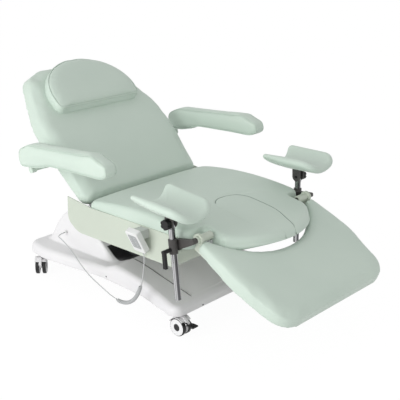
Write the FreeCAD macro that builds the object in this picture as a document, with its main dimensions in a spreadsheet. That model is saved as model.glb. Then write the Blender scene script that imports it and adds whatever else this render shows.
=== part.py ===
import FreeCAD, Part
import math
import os
import re

# Examination table: base on casters, lift column, seat, backrest, leg rest, two leg supports, handset.
# Millimetres. +Z is up, the foot end looks along -Y, the patient's right side is -X.

V = FreeCAD.Vector
UP = V(0, 0, 1)
ALONG_X = V(1, 0, 0)
ALONG_Y = V(0, 1, 0)
RIGHT, LEFT = -1, 1
SIDES = {"right": RIGHT, "left": LEFT}

# Driving dimensions, kept in the sheet.
DRIVING = {
    # base
    "base_front": 236, "base_rear": 778, "base_bottom": 90, "base_top": 166, "base_front_top": 132,
    "deck_top": 138,
    "base_front_half": 337, "base_knee_half": 331, "base_waist_half": 267, "base_hip_half": 306,
    "base_rear_half": 285, "cover_wall": 4, "cover_roll": 26,
    "chassis_half": 235, "chassis_bottom": 95, "chassis_thick": 8, "boss_radius": 16, "boss_top": 120,
    "housing_half": 200, "housing_roll": 28,
    # lift column
    "column_y": 275, "column_wide": 170, "column_deep": 130, "column_wall": 5, "column_gap": 0.6,
    "column_outer_top": 298, "column_middle_top": 302, "column_inner_top": 330,
    # casters
    "caster_front_half": 287.5, "caster_front_y": 190, "caster_rear_half": 270, "caster_rear_y": 700,
    "wheel_radius": 37.5, "wheel_inner": 7, "wheel_outer": 24, "axle_radius": 4, "caster_trail": 24,
    "stem_radius": 6, "turning_fit": 0.05,
    # seat
    "seat_half": 345, "seat_rear": 248, "seat_shoulder": 314, "seat_bottom": 400, "seat_crown": 497,
    "seat_crown_radius": 1700, "nose_radius": 345, "nose_tip": 526, "notch_half": 262,
    "insert_half": 90, "insert_rear": 174, "insert_gap": 0.4, "insert_widest": 400, "insert_front": 575,
    "pan_thick": 4, "spine_wide": 120, "spine_wall": 4,
    "hinge_boss_radius": 13, "actuator_radius": 20, "actuator_rod_radius": 8, "lever_pin_radius": 6,
    "tray_wall": 4, "tray_top": 443, "tray_bottom": 315, "tray_front": 262, "tray_rear": 398, "tray_lip": 18,
    # leg rest and its hinge
    "leg_hinge_y": 354, "leg_hinge_z": 453, "leg_angle": 28, "tube_radius": 16, "rod_radius": 11,
    "leg_half": 366, "leg_length": 472, "leg_top": 16, "leg_thick": 51.8, "leg_cut_radius": 370,
    "leg_cut_depth": 187, "leg_lever": 80, "leg_board_thick": 8,
    # backrest and its hinge
    "back_hinge_z": 432, "back_angle": 50, "back_half": 345, "back_length": 690, "back_lever": 70,
    "back_start_y": 266, "back_start_z": 459, "hinge_pin_radius": 7, "arm_pin_radius": 8,
    "arm_pivot_y": 505, "arm_pivot_z": 568, "arm_inner": 406, "arm_wide": 70, "arm_boss_radius": 13,
    "pillow_half": 236, "pillow_start": 418, "pillow_middle": 480, "pillow_end": 688, "pillow_thick": 58,
    "back_bend": 230, "back_lean": 95,
    # leg supports
    "post_radius": 12.5, "post_bottom": 212, "post_shoulder": 490, "pivot_z": 512, "post_y": 272,
    "sleeve_radius": 17, "sleeve_bottom": 402, "sleeve_top": 458, "stud_radius": 5,
    "trough_radius": 122, "trough_pad": 25, "trough_ahead": 135, "trough_behind": 102, "trough_stand": 38,
    "trough_half_angle": 55,
    # handset and cord
    "handset_long": 106, "handset_wide": 66, "handset_thick": 24, "handset_reach": 53, "button_radius": 6,
    "cord_radius": 2.2,
    "curl_radius": 6.3, "curl_pitch": 6.2,
}

# Dimensions that follow from the driving ones.
DERIVED = {
    "column_middle_wide": "column_wide - 2 * column_wall - 2 * column_gap",
    "column_middle_deep": "column_deep - 2 * column_wall - 2 * column_gap",
    "column_inner_wide": "column_middle_wide - 2 * column_wall - 2 * column_gap",
    "column_inner_deep": "column_middle_deep - 2 * column_wall - 2 * column_gap",
    "chassis_top": "chassis_bottom + chassis_thick",
    "pan_top": "seat_bottom - 0.3",
    "pan_bottom": "pan_top - pan_thick",
    "tray_half": "seat_half + 7",
    "tube_end": "seat_half + 1",
    "tube_start": "notch_half + 4",
    "ear_start": "tube_end - 22",
    "gusset_start": "tray_half + 1",
    "post_x": "gusset_start + 31",
    "back_hinge_y": "back_start_y + 9",
    "actuator_x": "seat_half - 45",
    "arm_outer": "arm_inner + arm_wide",
}

doc = FreeCAD.newDocument("examination_table")
dims = doc.addObject("Spreadsheet::Sheet", "dims")
for row, (alias, value) in enumerate(list(DRIVING.items()) + list(DERIVED.items()), 1):
    dims.set("A%d" % row, alias)
    dims.set("B%d" % row, str(value) if alias in DRIVING else "=" + value)
    dims.setAlias("B%d" % row, alias)
doc.recompute()


def size(alias):
    return float(dims.get(alias))


def formula(text):
    def cell(word):
        known = word.group(0) in DRIVING or word.group(0) in DERIVED
        return "dims." + word.group(0) if known else word.group(0)
    return re.sub(r"[a-z_]+", cell, str(text))


def bind(obj, formulas):
    for name, text in formulas.items():
        obj.setExpression(name, formula(text))
    return obj


def put(obj, x, y, z):
    return bind(obj, {"Placement.Base.x": x, "Placement.Base.y": y, "Placement.Base.z": z})


def block(x, y, z, length, width, height):
    box = doc.addObject("Part::Box", "block")
    bind(box, {"Length": length, "Width": width, "Height": height})
    return put(box, x, y, z)


def rod(axis, radius, length, x, y, z):
    cylinder = doc.addObject("Part::Cylinder", "rod")
    turns = {"x": (ALONG_Y, 90), "y": (ALONG_X, -90), "z": (UP, 45)}
    cylinder.Placement = FreeCAD.Placement(V(), FreeCAD.Rotation(*turns[axis]))
    bind(cylinder, {"Radius": radius, "Height": length})
    return put(cylinder, x, y, z)


def fuse(*pieces):
    joined = doc.addObject("Part::MultiFuse", "joined")
    joined.Shapes = list(pieces)
    return joined


def cut(piece, *tools):
    result = doc.addObject("Part::Cut", "trimmed")
    result.Base = piece
    result.Tool = tools[0] if len(tools) == 1 else fuse(*tools)
    return result


def shaped(shape):
    feature = doc.addObject("Part::Feature", "shaped")
    feature.Shape = shape
    return feature


def span(side, start, end):
    """Lower x and length of a stretch that runs from start to end away from the middle."""
    low = start if side == LEFT else "-(%s)" % end
    return low, "(%s) - (%s)" % (end, start)


nodes = []


def node(label, obj):
    obj.Label = label
    nodes.append(obj)
    return obj


def flat(z):
    return lambda x, y: V(x, y, z)


def upright(x):
    return lambda y, z: V(x, y, z)


def outline(corners, plane):
    """Closed face from corners (a, b, radius), each rounded by its radius."""
    points = [plane(a, b) for a, b, radius in corners]
    rounds = []
    for i, here in enumerate(points):
        back = (points[i - 1] - here).normalize()
        ahead = (points[(i + 1) % len(points)] - here).normalize()
        half = back.getAngle(ahead) / 2
        radius = corners[i][2]
        reach = radius / math.tan(half)
        middle = here
        if radius:
            middle = here + (back + ahead).normalize() * (radius / math.sin(half) - radius)
        rounds.append((here + back * reach, middle, here + ahead * reach))
    edges = []
    for i, (start, middle, end) in enumerate(rounds):
        if corners[i][2]:
            edges.append(Part.Arc(start, middle, end).toShape())
        following = rounds[(i + 1) % len(rounds)][0]
        run = points[(i + 1) % len(points)] - points[i]
        if (following - end).dot(run) < -1e-6:
            raise ValueError("corner %d is rounded too far" % i)
        if (following - end).Length > 1e-6:
            edges.append(Part.LineSegment(end, following).toShape())
    return Part.Face(Part.Wire(edges))


def mirrored(corners):
    """Right-hand corners (x, y, radius) from front to rear, closed with their mirror images."""
    return corners + [(-a, b, radius) for a, b, radius in reversed(corners)]


def soften(shape, radius, choose):
    return shape.makeFillet(radius, [edge for edge in shape.Edges if choose(edge)])


def rim_edges(solid):
    """Edges that bound the upper skin of a solid, without the seams inside the skin."""
    def skin(face):
        first, last, low, high = face.ParameterRange
        return face.normalAt((first + last) / 2, (low + high) / 2).z > 0.5
    upper = [face for face in solid.Faces if skin(face)]
    return [edge for edge in solid.Edges if sum(any(edge.isSame(e) for e in f.Edges) for f in upper) == 1]


def middle_z(edge):
    return edge.CenterOfMass.z


def arch(radius, y, top):
    """Long round bar across the table whose crest gives a cushion its crown."""
    return Part.makeCylinder(radius, 1200, V(-600, y, top - radius), ALONG_X)


def ring_sector(outer, inner, start, end, plane):
    """Face between two radii and two angles, angles from the first axis of the plane to its second."""
    def rim(radius, angle):
        return plane(radius * math.cos(math.radians(angle)), radius * math.sin(math.radians(angle)))
    middle = (start + end) / 2
    edges = [
        Part.Arc(rim(outer, start), rim(outer, middle), rim(outer, end)),
        Part.LineSegment(rim(outer, end), rim(inner, end)),
        Part.Arc(rim(inner, end), rim(inner, middle), rim(inner, start)),
        Part.LineSegment(rim(inner, start), rim(outer, start)),
    ]
    return Part.Face(Part.Wire([edge.toShape() for edge in edges]))


def turned(angle, centre):
    return FreeCAD.Placement(V(), FreeCAD.Rotation(ALONG_X, angle), centre)


# Base cover: moulded shell with a waist, sloping down to the foot end, with a lower deck behind the column.
def cover_block(inset):
    front = -size("base_front") + inset
    rear = size("base_rear") - inset
    corners = mirrored([
        (size("base_front_half") - inset, front, 38 - inset),
        (size("base_knee_half") - inset, front + 52, 110),
        (size("base_waist_half") + 16 - inset, 10, 400),
        (size("base_waist_half") - inset, 290, 600),
        (size("base_hip_half") - inset, rear - 137, 260),
        (size("base_rear_half") - inset, rear, 60 - inset),
    ])
    bottom = size("base_bottom") - (1 if inset else 0)
    plan = outline(corners, flat(bottom)).extrude(UP * 200)
    top, deck = size("base_top") - inset, size("deck_top") - inset
    side = outline([
        (front - 50, bottom - 1, 0),
        (front - 50, size("base_front_top") - inset - 5, 0),
        (140, top, 700), (206, top, 60), (268, deck, 100),
        (rear + 50, deck, 0),
        (rear + 50, bottom - 1, 0),
    ], upright(-500)).extrude(ALONG_X * 1000)
    solid = plan.common(side)
    return solid.makeFillet(size("cover_roll") - inset, rim_edges(solid))


cover = shaped(cover_block(0).cut(cover_block(size("cover_wall"))))
column_hole = block("-column_wide / 2 - 3", "column_y - column_deep / 2 - 3", "base_bottom",
                    "column_wide + 6", "column_deep + 6", "200")
node("base_cover", cut(cover, column_hole))

# Chassis: steel plate with cross arms, caster sockets and stand-offs for the cover.
CASTERS = {
    "front_right": ("-caster_front_half", "-caster_front_y", 0),
    "front_left": ("caster_front_half", "-caster_front_y", 0),
    "rear_right": ("-caster_rear_half", "caster_rear_y", -45),
    "rear_left": ("caster_rear_half", "caster_rear_y", 45),
}
plate = block("-chassis_half", "-caster_front_y - 20", "chassis_bottom", "2 * chassis_half",
              "caster_front_y + caster_rear_y + 40", "chassis_thick")
front_arm = block("-caster_front_half - boss_radius", "-caster_front_y - 20", "chassis_bottom",
                  "2 * (caster_front_half + boss_radius)", "40", "chassis_thick")
rear_arm = block("-caster_rear_half - boss_radius", "caster_rear_y - 20", "chassis_bottom",
                 "2 * (caster_rear_half + boss_radius)", "40", "chassis_thick")
bosses = []
sockets = []
for x, y, turn in CASTERS.values():
    bosses.append(rod("z", "boss_radius", "boss_top - chassis_bottom", x, y, "chassis_bottom"))
    sockets.append(rod("z", "stem_radius + turning_fit", "boss_top", x, y, "0"))
standoffs = [rod("z", "10", top + " - cover_wall - chassis_top", x, y, "chassis_top")
             for x in ("-200", "200") for y, top in (("182.5", "base_top"), ("caster_rear_y - 60", "deck_top"))]
node("chassis", cut(fuse(plate, front_arm, rear_arm, *bosses, *standoffs), *sockets))

# Rear housing: hump behind the column, open below, notched round the column.
def housing_block(inset):
    base, deck = size("base_top"), size("deck_top")
    corners = [
        (292 + 2 * inset, deck, 0), (430, base + 84 - inset, 120),
        (545, base + 134 - inset, 60), (612, base + 118 - inset, 50), (690 - inset, base + 34, 60),
        (718 - inset, deck, 0),
    ]
    half = size("housing_half") - inset
    face = outline(corners, upright(-half))
    solid = face.extrude(ALONG_X * 2 * half)
    def side_rim(edge):
        centre = edge.CenterOfMass
        return abs(abs(centre.x) - half) < 0.1 and centre.z > deck + 1 and centre.y > 305
    return soften(solid, size("housing_roll") - inset, side_rim)


hump = shaped(housing_block(0).cut(housing_block(size("cover_wall"))))
column_notch = block("-column_wide / 2 - 12", "200", "deck_top - 10", "column_wide + 24",
                     "column_y + column_deep / 2 + 12 - 200", "400")
node("rear_housing", cut(hump, column_notch))
node("control_box", block("-100", "480", "deck_top", "200", "140", "base_top + 76 - deck_top"))
grommet_y, grommet_z = "597", "base_top + 34"
node("cord_grommet", rod("x", "7", "5", "-housing_half - 5", grommet_y, grommet_z))


# Lift column: three stages of rectangular tube.
def column_stage(label, wide, deep, bottom, top):
    def tube(inset, beyond):
        width, depth = "(%s - 2 * %s)" % (wide, inset), "(%s - 2 * %s)" % (deep, inset)
        return block("-%s / 2" % width, "column_y - %s / 2" % depth, "%s - %s" % (bottom, beyond),
                     width, depth, "%s - (%s) + 2 * %s" % (top, bottom, beyond))
    node(label, cut(tube("0", "0"), tube("column_wall", "1")))


column_stage("column_outer", "column_wide", "column_deep", "chassis_top", "column_outer_top")
column_stage("column_middle", "column_middle_wide", "column_middle_deep", "chassis_top + 1.5",
             "column_middle_top")
column_stage("column_inner", "column_inner_wide", "column_inner_deep", "chassis_top + 3", "column_inner_top")


# Casters: drawn about their own swivel axis, trailing towards -Y, then turned and put in place.
def caster_wheels():
    inner, outer = size("wheel_inner"), size("wheel_outer")
    tread, axle = size("wheel_radius"), size("axle_radius")
    centre = V(0, -size("caster_trail"), tread)
    profile = outline([
        (-outer, 0, 0), (-outer, tread, 4), (-inner, tread, 4), (-inner, axle, 0),
        (inner, axle, 0), (inner, tread, 4), (outer, tread, 4), (outer, 0, 0),
    ], lambda x, r: centre + V(x, 0, r))
    return profile.revolve(centre, ALONG_X, 360)


PEDAL_Y, PEDAL_Z = "-caster_trail - 40", "wheel_radius + 22"


def caster_hood(with_pedal):
    trail, axle_z = size("caster_trail"), size("wheel_radius")
    web = outline([
        (-trail + 14, axle_z - 8, 6), (14, axle_z + 26, 6), (14, axle_z + 49, 0),
        (-trail - 16, axle_z + 47, 6), (-trail - 47, axle_z + 24, 4), (-trail - 38, axle_z + 13, 4),
        (-trail - 14, axle_z - 8, 6),
    ], upright(-6)).extrude(ALONG_X * 12)
    cap = ring_sector(43, 40, 25, 135, lambda a, b: V(-26, a - trail, b + axle_z)).extrude(ALONG_X * 52)
    collar = rod("z", "15", "14", "0", "0", "wheel_radius + 41")
    stem = rod("z", "stem_radius", "boss_top - 2 - wheel_radius - 48", "0", "0", "wheel_radius + 48")
    pieces = [shaped(web), shaped(cap), collar, stem]
    if with_pedal:
        pieces.append(rod("x", "3", "26", "-13", PEDAL_Y, PEDAL_Z))
    axle_bore = rod("x", "axle_radius + turning_fit", "20", "-10", "-caster_trail", "wheel_radius")
    return cut(fuse(*pieces), axle_bore)


def caster_pedal():
    lugs = [rod("x", "6", "5.5", x, PEDAL_Y, PEDAL_Z) for x in ("-12.5", "7")]
    arms = [block(x, PEDAL_Y + " - 14", PEDAL_Z + " - 5", "5.5", "14", "6") for x in ("-12.5", "7")]
    tread = block("-15", PEDAL_Y + " - 40", PEDAL_Z + " - 5", "30", "27", "6")
    return cut(fuse(*lugs, *arms, tread), rod("x", "3 + turning_fit", "40", "-20", PEDAL_Y, PEDAL_Z))


for name, (x, y, turn) in CASTERS.items():
    front = name.startswith("front")
    members = {"hood": caster_hood(front), "wheels": shaped(caster_wheels())}
    if front:
        members["pedal"] = caster_pedal()
    for kind, piece in members.items():
        piece.Placement = FreeCAD.Placement(V(), FreeCAD.Rotation(UP, turn))
        put(piece, x, y, "0")
        node("caster_%s_%s" % (name, kind), piece)

# Seat frame: plate on the column, spine, pan, tube posts, hinge brackets and actuator plate.
def pan_shape():
    tip = size("nose_tip") - 30
    return Part.makeCylinder(290, size("pan_thick"), V(0, 290 - tip, size("pan_bottom")))


SPINE_BOTTOM = "column_inner_top + 8"
SPINE_LONG = "tray_front + column_y + 20"
frame_parts = [
    block("-100", "column_y - 90", "column_inner_top", "200", "140", "8"),
    block("-spine_wide / 2", "-tray_front + 12", SPINE_BOTTOM, "spine_wide", SPINE_LONG,
          "pan_bottom - (%s)" % SPINE_BOTTOM),
    block("-seat_half + 35", "-seat_shoulder + 20", "pan_bottom", "2 * seat_half - 70",
          "seat_shoulder + seat_rear - 36", "pan_thick"),
    shaped(pan_shape()),
    block("actuator_x - 20", "-45", "pan_bottom - 50", "40", "8", "50"),
]
spine_bore = block("-spine_wide / 2 + spine_wall", "-tray_front + 11", SPINE_BOTTOM + " + spine_wall",
                   "spine_wide - 2 * spine_wall", SPINE_LONG + " + 2",
                   "pan_bottom - (%s) - 2 * spine_wall" % SPINE_BOTTOM)
frame_cuts = [spine_bore]
for side in SIDES.values():
    x, length = span(side, "notch_half - 32", "notch_half + 15")
    frame_parts.append(block(x, "-leg_hinge_y - 12", "pan_bottom", length, "24", "pan_thick"))
    x, length = span(side, "notch_half + 6", "notch_half + 15")
    frame_parts.append(block(x, "-leg_hinge_y - 12", "pan_top", length, "24",
                             "leg_hinge_z - tube_radius - 0.3 - pan_top"))
    x, length = span(side, "seat_half - 57", "seat_half - 46")
    frame_parts.append(block(x, "seat_rear - 20", "pan_bottom", length,
                             "back_hinge_y + hinge_boss_radius - seat_rear + 20", "pan_thick"))
    frame_parts.append(block(x, "back_hinge_y - hinge_boss_radius", "pan_top", length,
                             "2 * hinge_boss_radius", "back_hinge_z - pan_top"))
    frame_parts.append(rod("x", "hinge_boss_radius", length, x, "back_hinge_y", "back_hinge_z"))
    frame_cuts.append(rod("x", "hinge_pin_radius + 0.02", length, x, "back_hinge_y", "back_hinge_z"))
node("seat_frame", cut(fuse(*frame_parts), *frame_cuts))

pins = []
for side in SIDES.values():
    x, length = span(side, "seat_half - 80", "seat_half - 44")
    pins.append(rod("x", "hinge_pin_radius", length, x, "back_hinge_y", "back_hinge_z"))
node("hinge_pins", fuse(*pins))


# Side cover: tray round the lower edge of the seat, open above and behind.
def tray_block(inset):
    front, rear = -size("tray_front") + inset, size("tray_rear") - inset
    bottom, top = size("tray_bottom") + inset, size("tray_top") + inset
    half = size("tray_half") - inset
    profile = outline([
        (front, top, 0), (front, bottom, 34 - inset), (rear - 80, bottom, 96),
        (rear - 18, bottom + 42, 45), (rear - 22, top + size("tray_lip"), 0), (rear - 170, top, 0),
    ], upright(-half))
    return profile.extrude(ALONG_X * 2 * half)


tray = shaped(tray_block(0).cut(tray_block(size("tray_wall"))))
INSIDE = "-tray_half + tray_wall"
INSIDE_WIDE = "2 * (tray_half - tray_wall)"
open_front = block(INSIDE, "-tray_front - 1", "pan_bottom - 9", INSIDE_WIDE, "tray_wall + 2", "100")
open_rear = block(INSIDE, "seat_rear", "pan_bottom - 24", INSIDE_WIDE, "400", "200")
rod_window = block("actuator_x - 20", "-tray_front - 1", "pan_bottom - 51", "40", "tray_wall + 2", "100")
stage_hole = block("-column_inner_wide / 2 - 1.2", "column_y - column_inner_deep / 2 - 1.2",
                   "tray_bottom - 1", "column_inner_wide + 2.4", "column_inner_deep + 2.4", "60")
node("side_cover", cut(tray, open_front, open_rear, rod_window, stage_hole))


# Seat cushion with crown and nose, split round the lift-out insert.
def seat_form():
    half, shoulder, notch = size("seat_half"), -size("seat_shoulder"), size("notch_half")
    radius, tip = size("nose_radius"), -size("nose_tip")
    bottom = size("seat_bottom")
    body = outline(mirrored([
        (notch, shoulder - 300, 0), (notch, shoulder, 14), (half, shoulder, 42),
        (half, size("seat_rear"), 34),
    ]), flat(bottom)).extrude(UP * 200)
    nose = Part.makeCylinder(radius, 200, V(0, tip + radius, bottom))
    rear_part = Part.makeBox(2 * half, 720, 200, V(-half, shoulder - 20, bottom))
    trimmed = body.common(nose.fuse(rear_part))
    dome = trimmed.common(arch(size("seat_crown_radius"), -50, size("seat_crown")))
    dome = dome.removeSplitter()
    dome = soften(dome, 16, lambda edge: middle_z(edge) > bottom + 20 and edge.BoundBox.ZLength < 30)
    return soften(dome, 8, lambda edge: edge.BoundBox.ZMax < bottom + 0.5)


def insert_form(growth):
    half, rear = size("insert_half") + growth, -size("insert_rear") + growth
    widest, front = -size("insert_widest"), -size("insert_front")
    corners = mirrored([(6 + growth, front, 0), (half + 5, widest, 180), (half, rear, 85)])
    return outline(corners, flat(size("seat_bottom") - 1)).extrude(UP * 200)


seat = seat_form()
node("seat_cushion", shaped(seat.cut(insert_form(size("insert_gap")))))
node("seat_insert", shaped(seat.common(insert_form(-size("insert_gap")))))

# Socket tubes: hinge of the leg rest outside, bearing of the leg supports inside.
tube_shells = []
tube_bores = []
for side in SIDES.values():
    x, length = span(side, "tube_start", "tube_end")
    tube_shells.append(rod("x", "tube_radius", length, x, "-leg_hinge_y", "leg_hinge_z"))
    tube_bores.append(rod("x", "rod_radius + turning_fit", length, x, "-leg_hinge_y", "leg_hinge_z"))
node("socket_tubes", cut(fuse(*tube_shells), *tube_bores))

# Actuators: one line under the seat, barrels back to back, slotted rod ends over the lever pins.
ACTUATOR_Z = "pan_bottom - 28"
leg_pin_y = "-leg_hinge_y + leg_lever * sin(3)"
leg_pin_z = "leg_hinge_z - leg_lever * cos(3)"
back_pin_y = "back_hinge_y + back_lever * sin(13.5)"
back_pin_z = "back_hinge_z - back_lever * cos(13.5)"
leg_barrel = rod("y", "actuator_radius", "tray_front - 62", "actuator_x", "-tray_front + 17", ACTUATOR_Z)
leg_bore = rod("y", "actuator_rod_radius + turning_fit", "tray_front - 80", "actuator_x",
               "-tray_front + 16", ACTUATOR_Z)
node("leg_actuator", cut(leg_barrel, leg_bore))
back_barrel = rod("y", "actuator_radius", "227", "actuator_x", "-37", ACTUATOR_Z)
back_bore = rod("y", "actuator_rod_radius + turning_fit", "180", "actuator_x", "11", ACTUATOR_Z)
node("back_actuator", cut(back_barrel, back_bore))


def rod_end(pin_y, pin_z):
    eye = block("actuator_x - 6", pin_y + " - 14", pin_z + " - 16", "12", "28", "40")
    slot = block("actuator_x - 7", pin_y + " - 7", pin_z + " - 9", "14", "14", "26")
    return cut(eye, slot)


leg_rod = rod("y", "actuator_rod_radius", "190", "actuator_x", leg_pin_y + " + 12", ACTUATOR_Z)
node("leg_actuator_rod", fuse(rod_end(leg_pin_y, leg_pin_z), leg_rod))
back_rod = rod("y", "actuator_rod_radius", "178", "actuator_x", back_pin_y + " - 190", ACTUATOR_Z)
node("back_actuator_rod", fuse(rod_end(back_pin_y, back_pin_z), back_rod))


# Leg rest: drawn flat with its hinge at the origin and the foot end along -Y, then tipped down.
def leg_plan(inset, start, cut_growth):
    half, end = size("leg_half") - inset, -size("leg_length") + inset
    return outline(mirrored([
        (half - 34, end, 100 - inset), (half, -230, 600), (half - 18, -start, 14),
    ]), flat(0)), size("leg_cut_radius") + cut_growth


def leg_pad():
    plan, radius = leg_plan(0, 27, 0)
    top, thick = size("leg_top"), size("leg_thick")
    bottom = top - thick
    solid = plan.extrude(UP * 100)
    solid.translate(V(0, 0, bottom))
    centre = V(0, -size("leg_cut_depth") + size("leg_cut_radius"), bottom - 1)
    solid = solid.cut(Part.makeCylinder(radius, 200, centre))
    solid = solid.common(arch(2600, -260, top + 2))
    solid = soften(solid, 12, lambda edge: middle_z(edge) > bottom + 18 and edge.BoundBox.ZLength < 28)
    return soften(solid, 6, lambda edge: edge.BoundBox.ZMax < bottom + 0.5)


leg_place = FreeCAD.Placement(V(0, -size("leg_hinge_y"), size("leg_hinge_z")),
                              FreeCAD.Rotation(ALONG_X, size("leg_angle")))
leg_cushion = shaped(leg_pad())
leg_cushion.Placement = leg_place
node("legrest_cushion", leg_cushion)


def leg_board():
    plan, radius = leg_plan(22, 40, 22)
    thick = size("leg_board_thick")
    board = plan.extrude(UP * thick)
    board.translate(V(0, 0, size("leg_top") - size("leg_thick") - thick - 0.2))
    centre = V(0, -size("leg_cut_depth") + size("leg_cut_radius"), -100)
    return board.cut(Part.makeCylinder(radius, 200, centre))


board_bottom = "leg_top - leg_thick - leg_board_thick - 0.2"
leg_frame_parts = [shaped(leg_board())]
leg_bores = []
for side in SIDES.values():
    x, length = span(side, "ear_start", "ear_start + 12")
    leg_frame_parts.append(rod("x", "tube_radius + 7", length, x, "0", "0"))
    leg_frame_parts.append(block(x, "-25", board_bottom, length, "21", "-(%s)" % board_bottom))
    leg_frame_parts.append(block(x, "-60", board_bottom, length, "56", "leg_board_thick"))
    leg_bores.append(rod("x", "tube_radius + turning_fit", length, x, "0", "0"))
lever_angle = math.radians(size("leg_angle") - 3)
lever_tip = V(0, -math.sin(lever_angle), -math.cos(lever_angle)) * size("leg_lever")
across = V(0, math.cos(lever_angle), -math.sin(lever_angle))
lever_root = lever_tip * (20 / size("leg_lever"))
lever = outline([
    (*(lever_root + across * 10)[1:], 0), (*(lever_tip * 1.14 + across * 11)[1:], 9),
    (*(lever_tip * 1.14 - across * 11)[1:], 9), (*(lever_root - across * 10)[1:], 0),
], upright(size("ear_start"))).extrude(ALONG_X * 12)
leg_frame_parts.append(shaped(lever))
lever_pin = rod("x", "lever_pin_radius", "ear_start - actuator_x + 10", "actuator_x - 8",
                "-leg_lever * sin(leg_angle - 3)", "-leg_lever * cos(leg_angle - 3)")
leg_frame_parts.append(lever_pin)
leg_frame = cut(fuse(*leg_frame_parts), *leg_bores)
leg_frame.Placement = leg_place
node("legrest_frame", leg_frame)


# Backrest: drawn lying flat, length along +Y from its lower edge, front face up, then raised.
def back_depth(along):
    return 45 + 0.1703 * along


def back_pad():
    length, half = size("back_length"), size("back_half")
    plan = outline(mirrored([
        (half - 4, 0, 40), (half, 0.57 * length, 300), (half - 95, 0.94 * length, 80),
        (half - 190, length, 70),
    ]), flat(-300)).extrude(UP * 400)
    bend, lean, thick = size("back_bend"), size("back_lean"), 60
    slope = lean / (length - bend)
    beyond, thick_end = length + 50, 370
    front_end = -slope * (beyond - bend)
    side = outline([
        (-50, 0, 0), (bend, 0, 500), (beyond, front_end, 0), (beyond, front_end - thick, 0),
        (thick_end, -back_depth(thick_end), 300), (-50, -back_depth(-50), 0),
    ], upright(-400)).extrude(ALONG_X * 800)
    solid = plan.common(side)
    return solid.makeFillet(22, rim_edges(solid))


back_place = FreeCAD.Placement(V(0, size("back_start_y"), size("back_start_z")),
                               FreeCAD.Rotation(ALONG_X, size("back_angle")))
back_cushion = shaped(back_pad())
back_cushion.Placement = back_place
node("backrest_cushion", back_cushion)


# Backrest frame: plate on the rear face, hinge ears, actuator lever and armrest bosses.
def back_local(y, z):
    """Position in the table turned into the lying frame of the backrest."""
    return back_place.inverse().multVec(V(0, y, z))


def back_board():
    gap, thick = 0.2, 6
    near, far = 5, 360
    return outline([
        (near, -back_depth(near) - gap, 0), (far, -back_depth(far) - gap, 0),
        (far, -back_depth(far) - gap - thick, 0), (near, -back_depth(near) - gap - thick, 0),
    ], upright(-200)).extrude(ALONG_X * 400)


def cylinder_x(radius, start, end, centre):
    return Part.makeCylinder(radius, end - start, V(start, centre.y, centre.z), ALONG_X)


back_hinge = back_local(size("back_hinge_y"), size("back_hinge_z"))
arm_pivot = back_local(size("arm_pivot_y"), size("arm_pivot_z"))
lever_drop = math.radians(13.5)
back_pin = back_local(size("back_hinge_y") + size("back_lever") * math.sin(lever_drop),
                      size("back_hinge_z") - size("back_lever") * math.cos(lever_drop))
EAR_START, EAR_END = size("seat_half") - 79, size("seat_half") - 61


def mirror_x(shape):
    return shape.mirror(V(), ALONG_X)


def back_ear():
    reach = outline([
        (-24, -13, 0), (-2, -13, 0), (-2, -back_depth(-2) - 2, 0), (60, -back_depth(60) - 1, 0),
        (60, -back_depth(60) - 14, 0), (-24, -66, 0),
    ], upright(EAR_START)).extrude(ALONG_X * (EAR_END - EAR_START))
    ring = cylinder_x(size("hinge_boss_radius"), EAR_START, EAR_END, back_hinge)
    bridge = Part.makeBox(EAR_END - 190, 46, 8, V(190, 14, -back_depth(60) - 14))
    bore = cylinder_x(size("hinge_pin_radius") + size("turning_fit"), EAR_START - 1, EAR_END + 1, back_hinge)
    return reach.fuse(ring).fuse(bridge).cut(bore)


def back_lever():
    direction = (back_pin - back_hinge).normalize()
    aside = V(0, -direction.z, direction.y)
    root, tip = back_hinge + direction * 10, back_pin + direction * 10
    arm = outline([
        (*(root + aside * 11)[1:], 0), (*(tip + aside * 11)[1:], 9),
        (*(tip - aside * 11)[1:], 9), (*(root - aside * 11)[1:], 0),
    ], upright(EAR_START)).extrude(ALONG_X * (EAR_END - EAR_START))
    return arm.fuse(cylinder_x(size("lever_pin_radius"), EAR_START, size("actuator_x") + 8, back_pin))


def arm_boss():
    start, end = 150, 200
    boss = cylinder_x(16, start, end, arm_pivot)
    foot_top = -back_depth(arm_pivot.y + 16)
    foot = Part.makeBox(end - start, 32, foot_top - arm_pivot.z, V(start, arm_pivot.y - 16, arm_pivot.z))
    foot = foot.common(cylinder_x(200, start, end, V(0, arm_pivot.y, -back_depth(arm_pivot.y - 16) - 203)))
    bore = cylinder_x(size("arm_pin_radius") + size("turning_fit"), start, end, arm_pivot)
    return boss.fuse(foot).cut(bore)


def back_frame():
    shape = back_board()
    for piece in (back_ear(), arm_boss()):
        shape = shape.fuse(piece).fuse(mirror_x(piece))
    bore = cylinder_x(size("hinge_pin_radius") + size("turning_fit"), EAR_START - 1, EAR_END + 1, back_hinge)
    return shape.fuse(back_lever().cut(bore)).removeSplitter()


back_support = shaped(back_frame())
back_support.Placement = back_place
node("backrest_frame", back_support)


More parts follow.
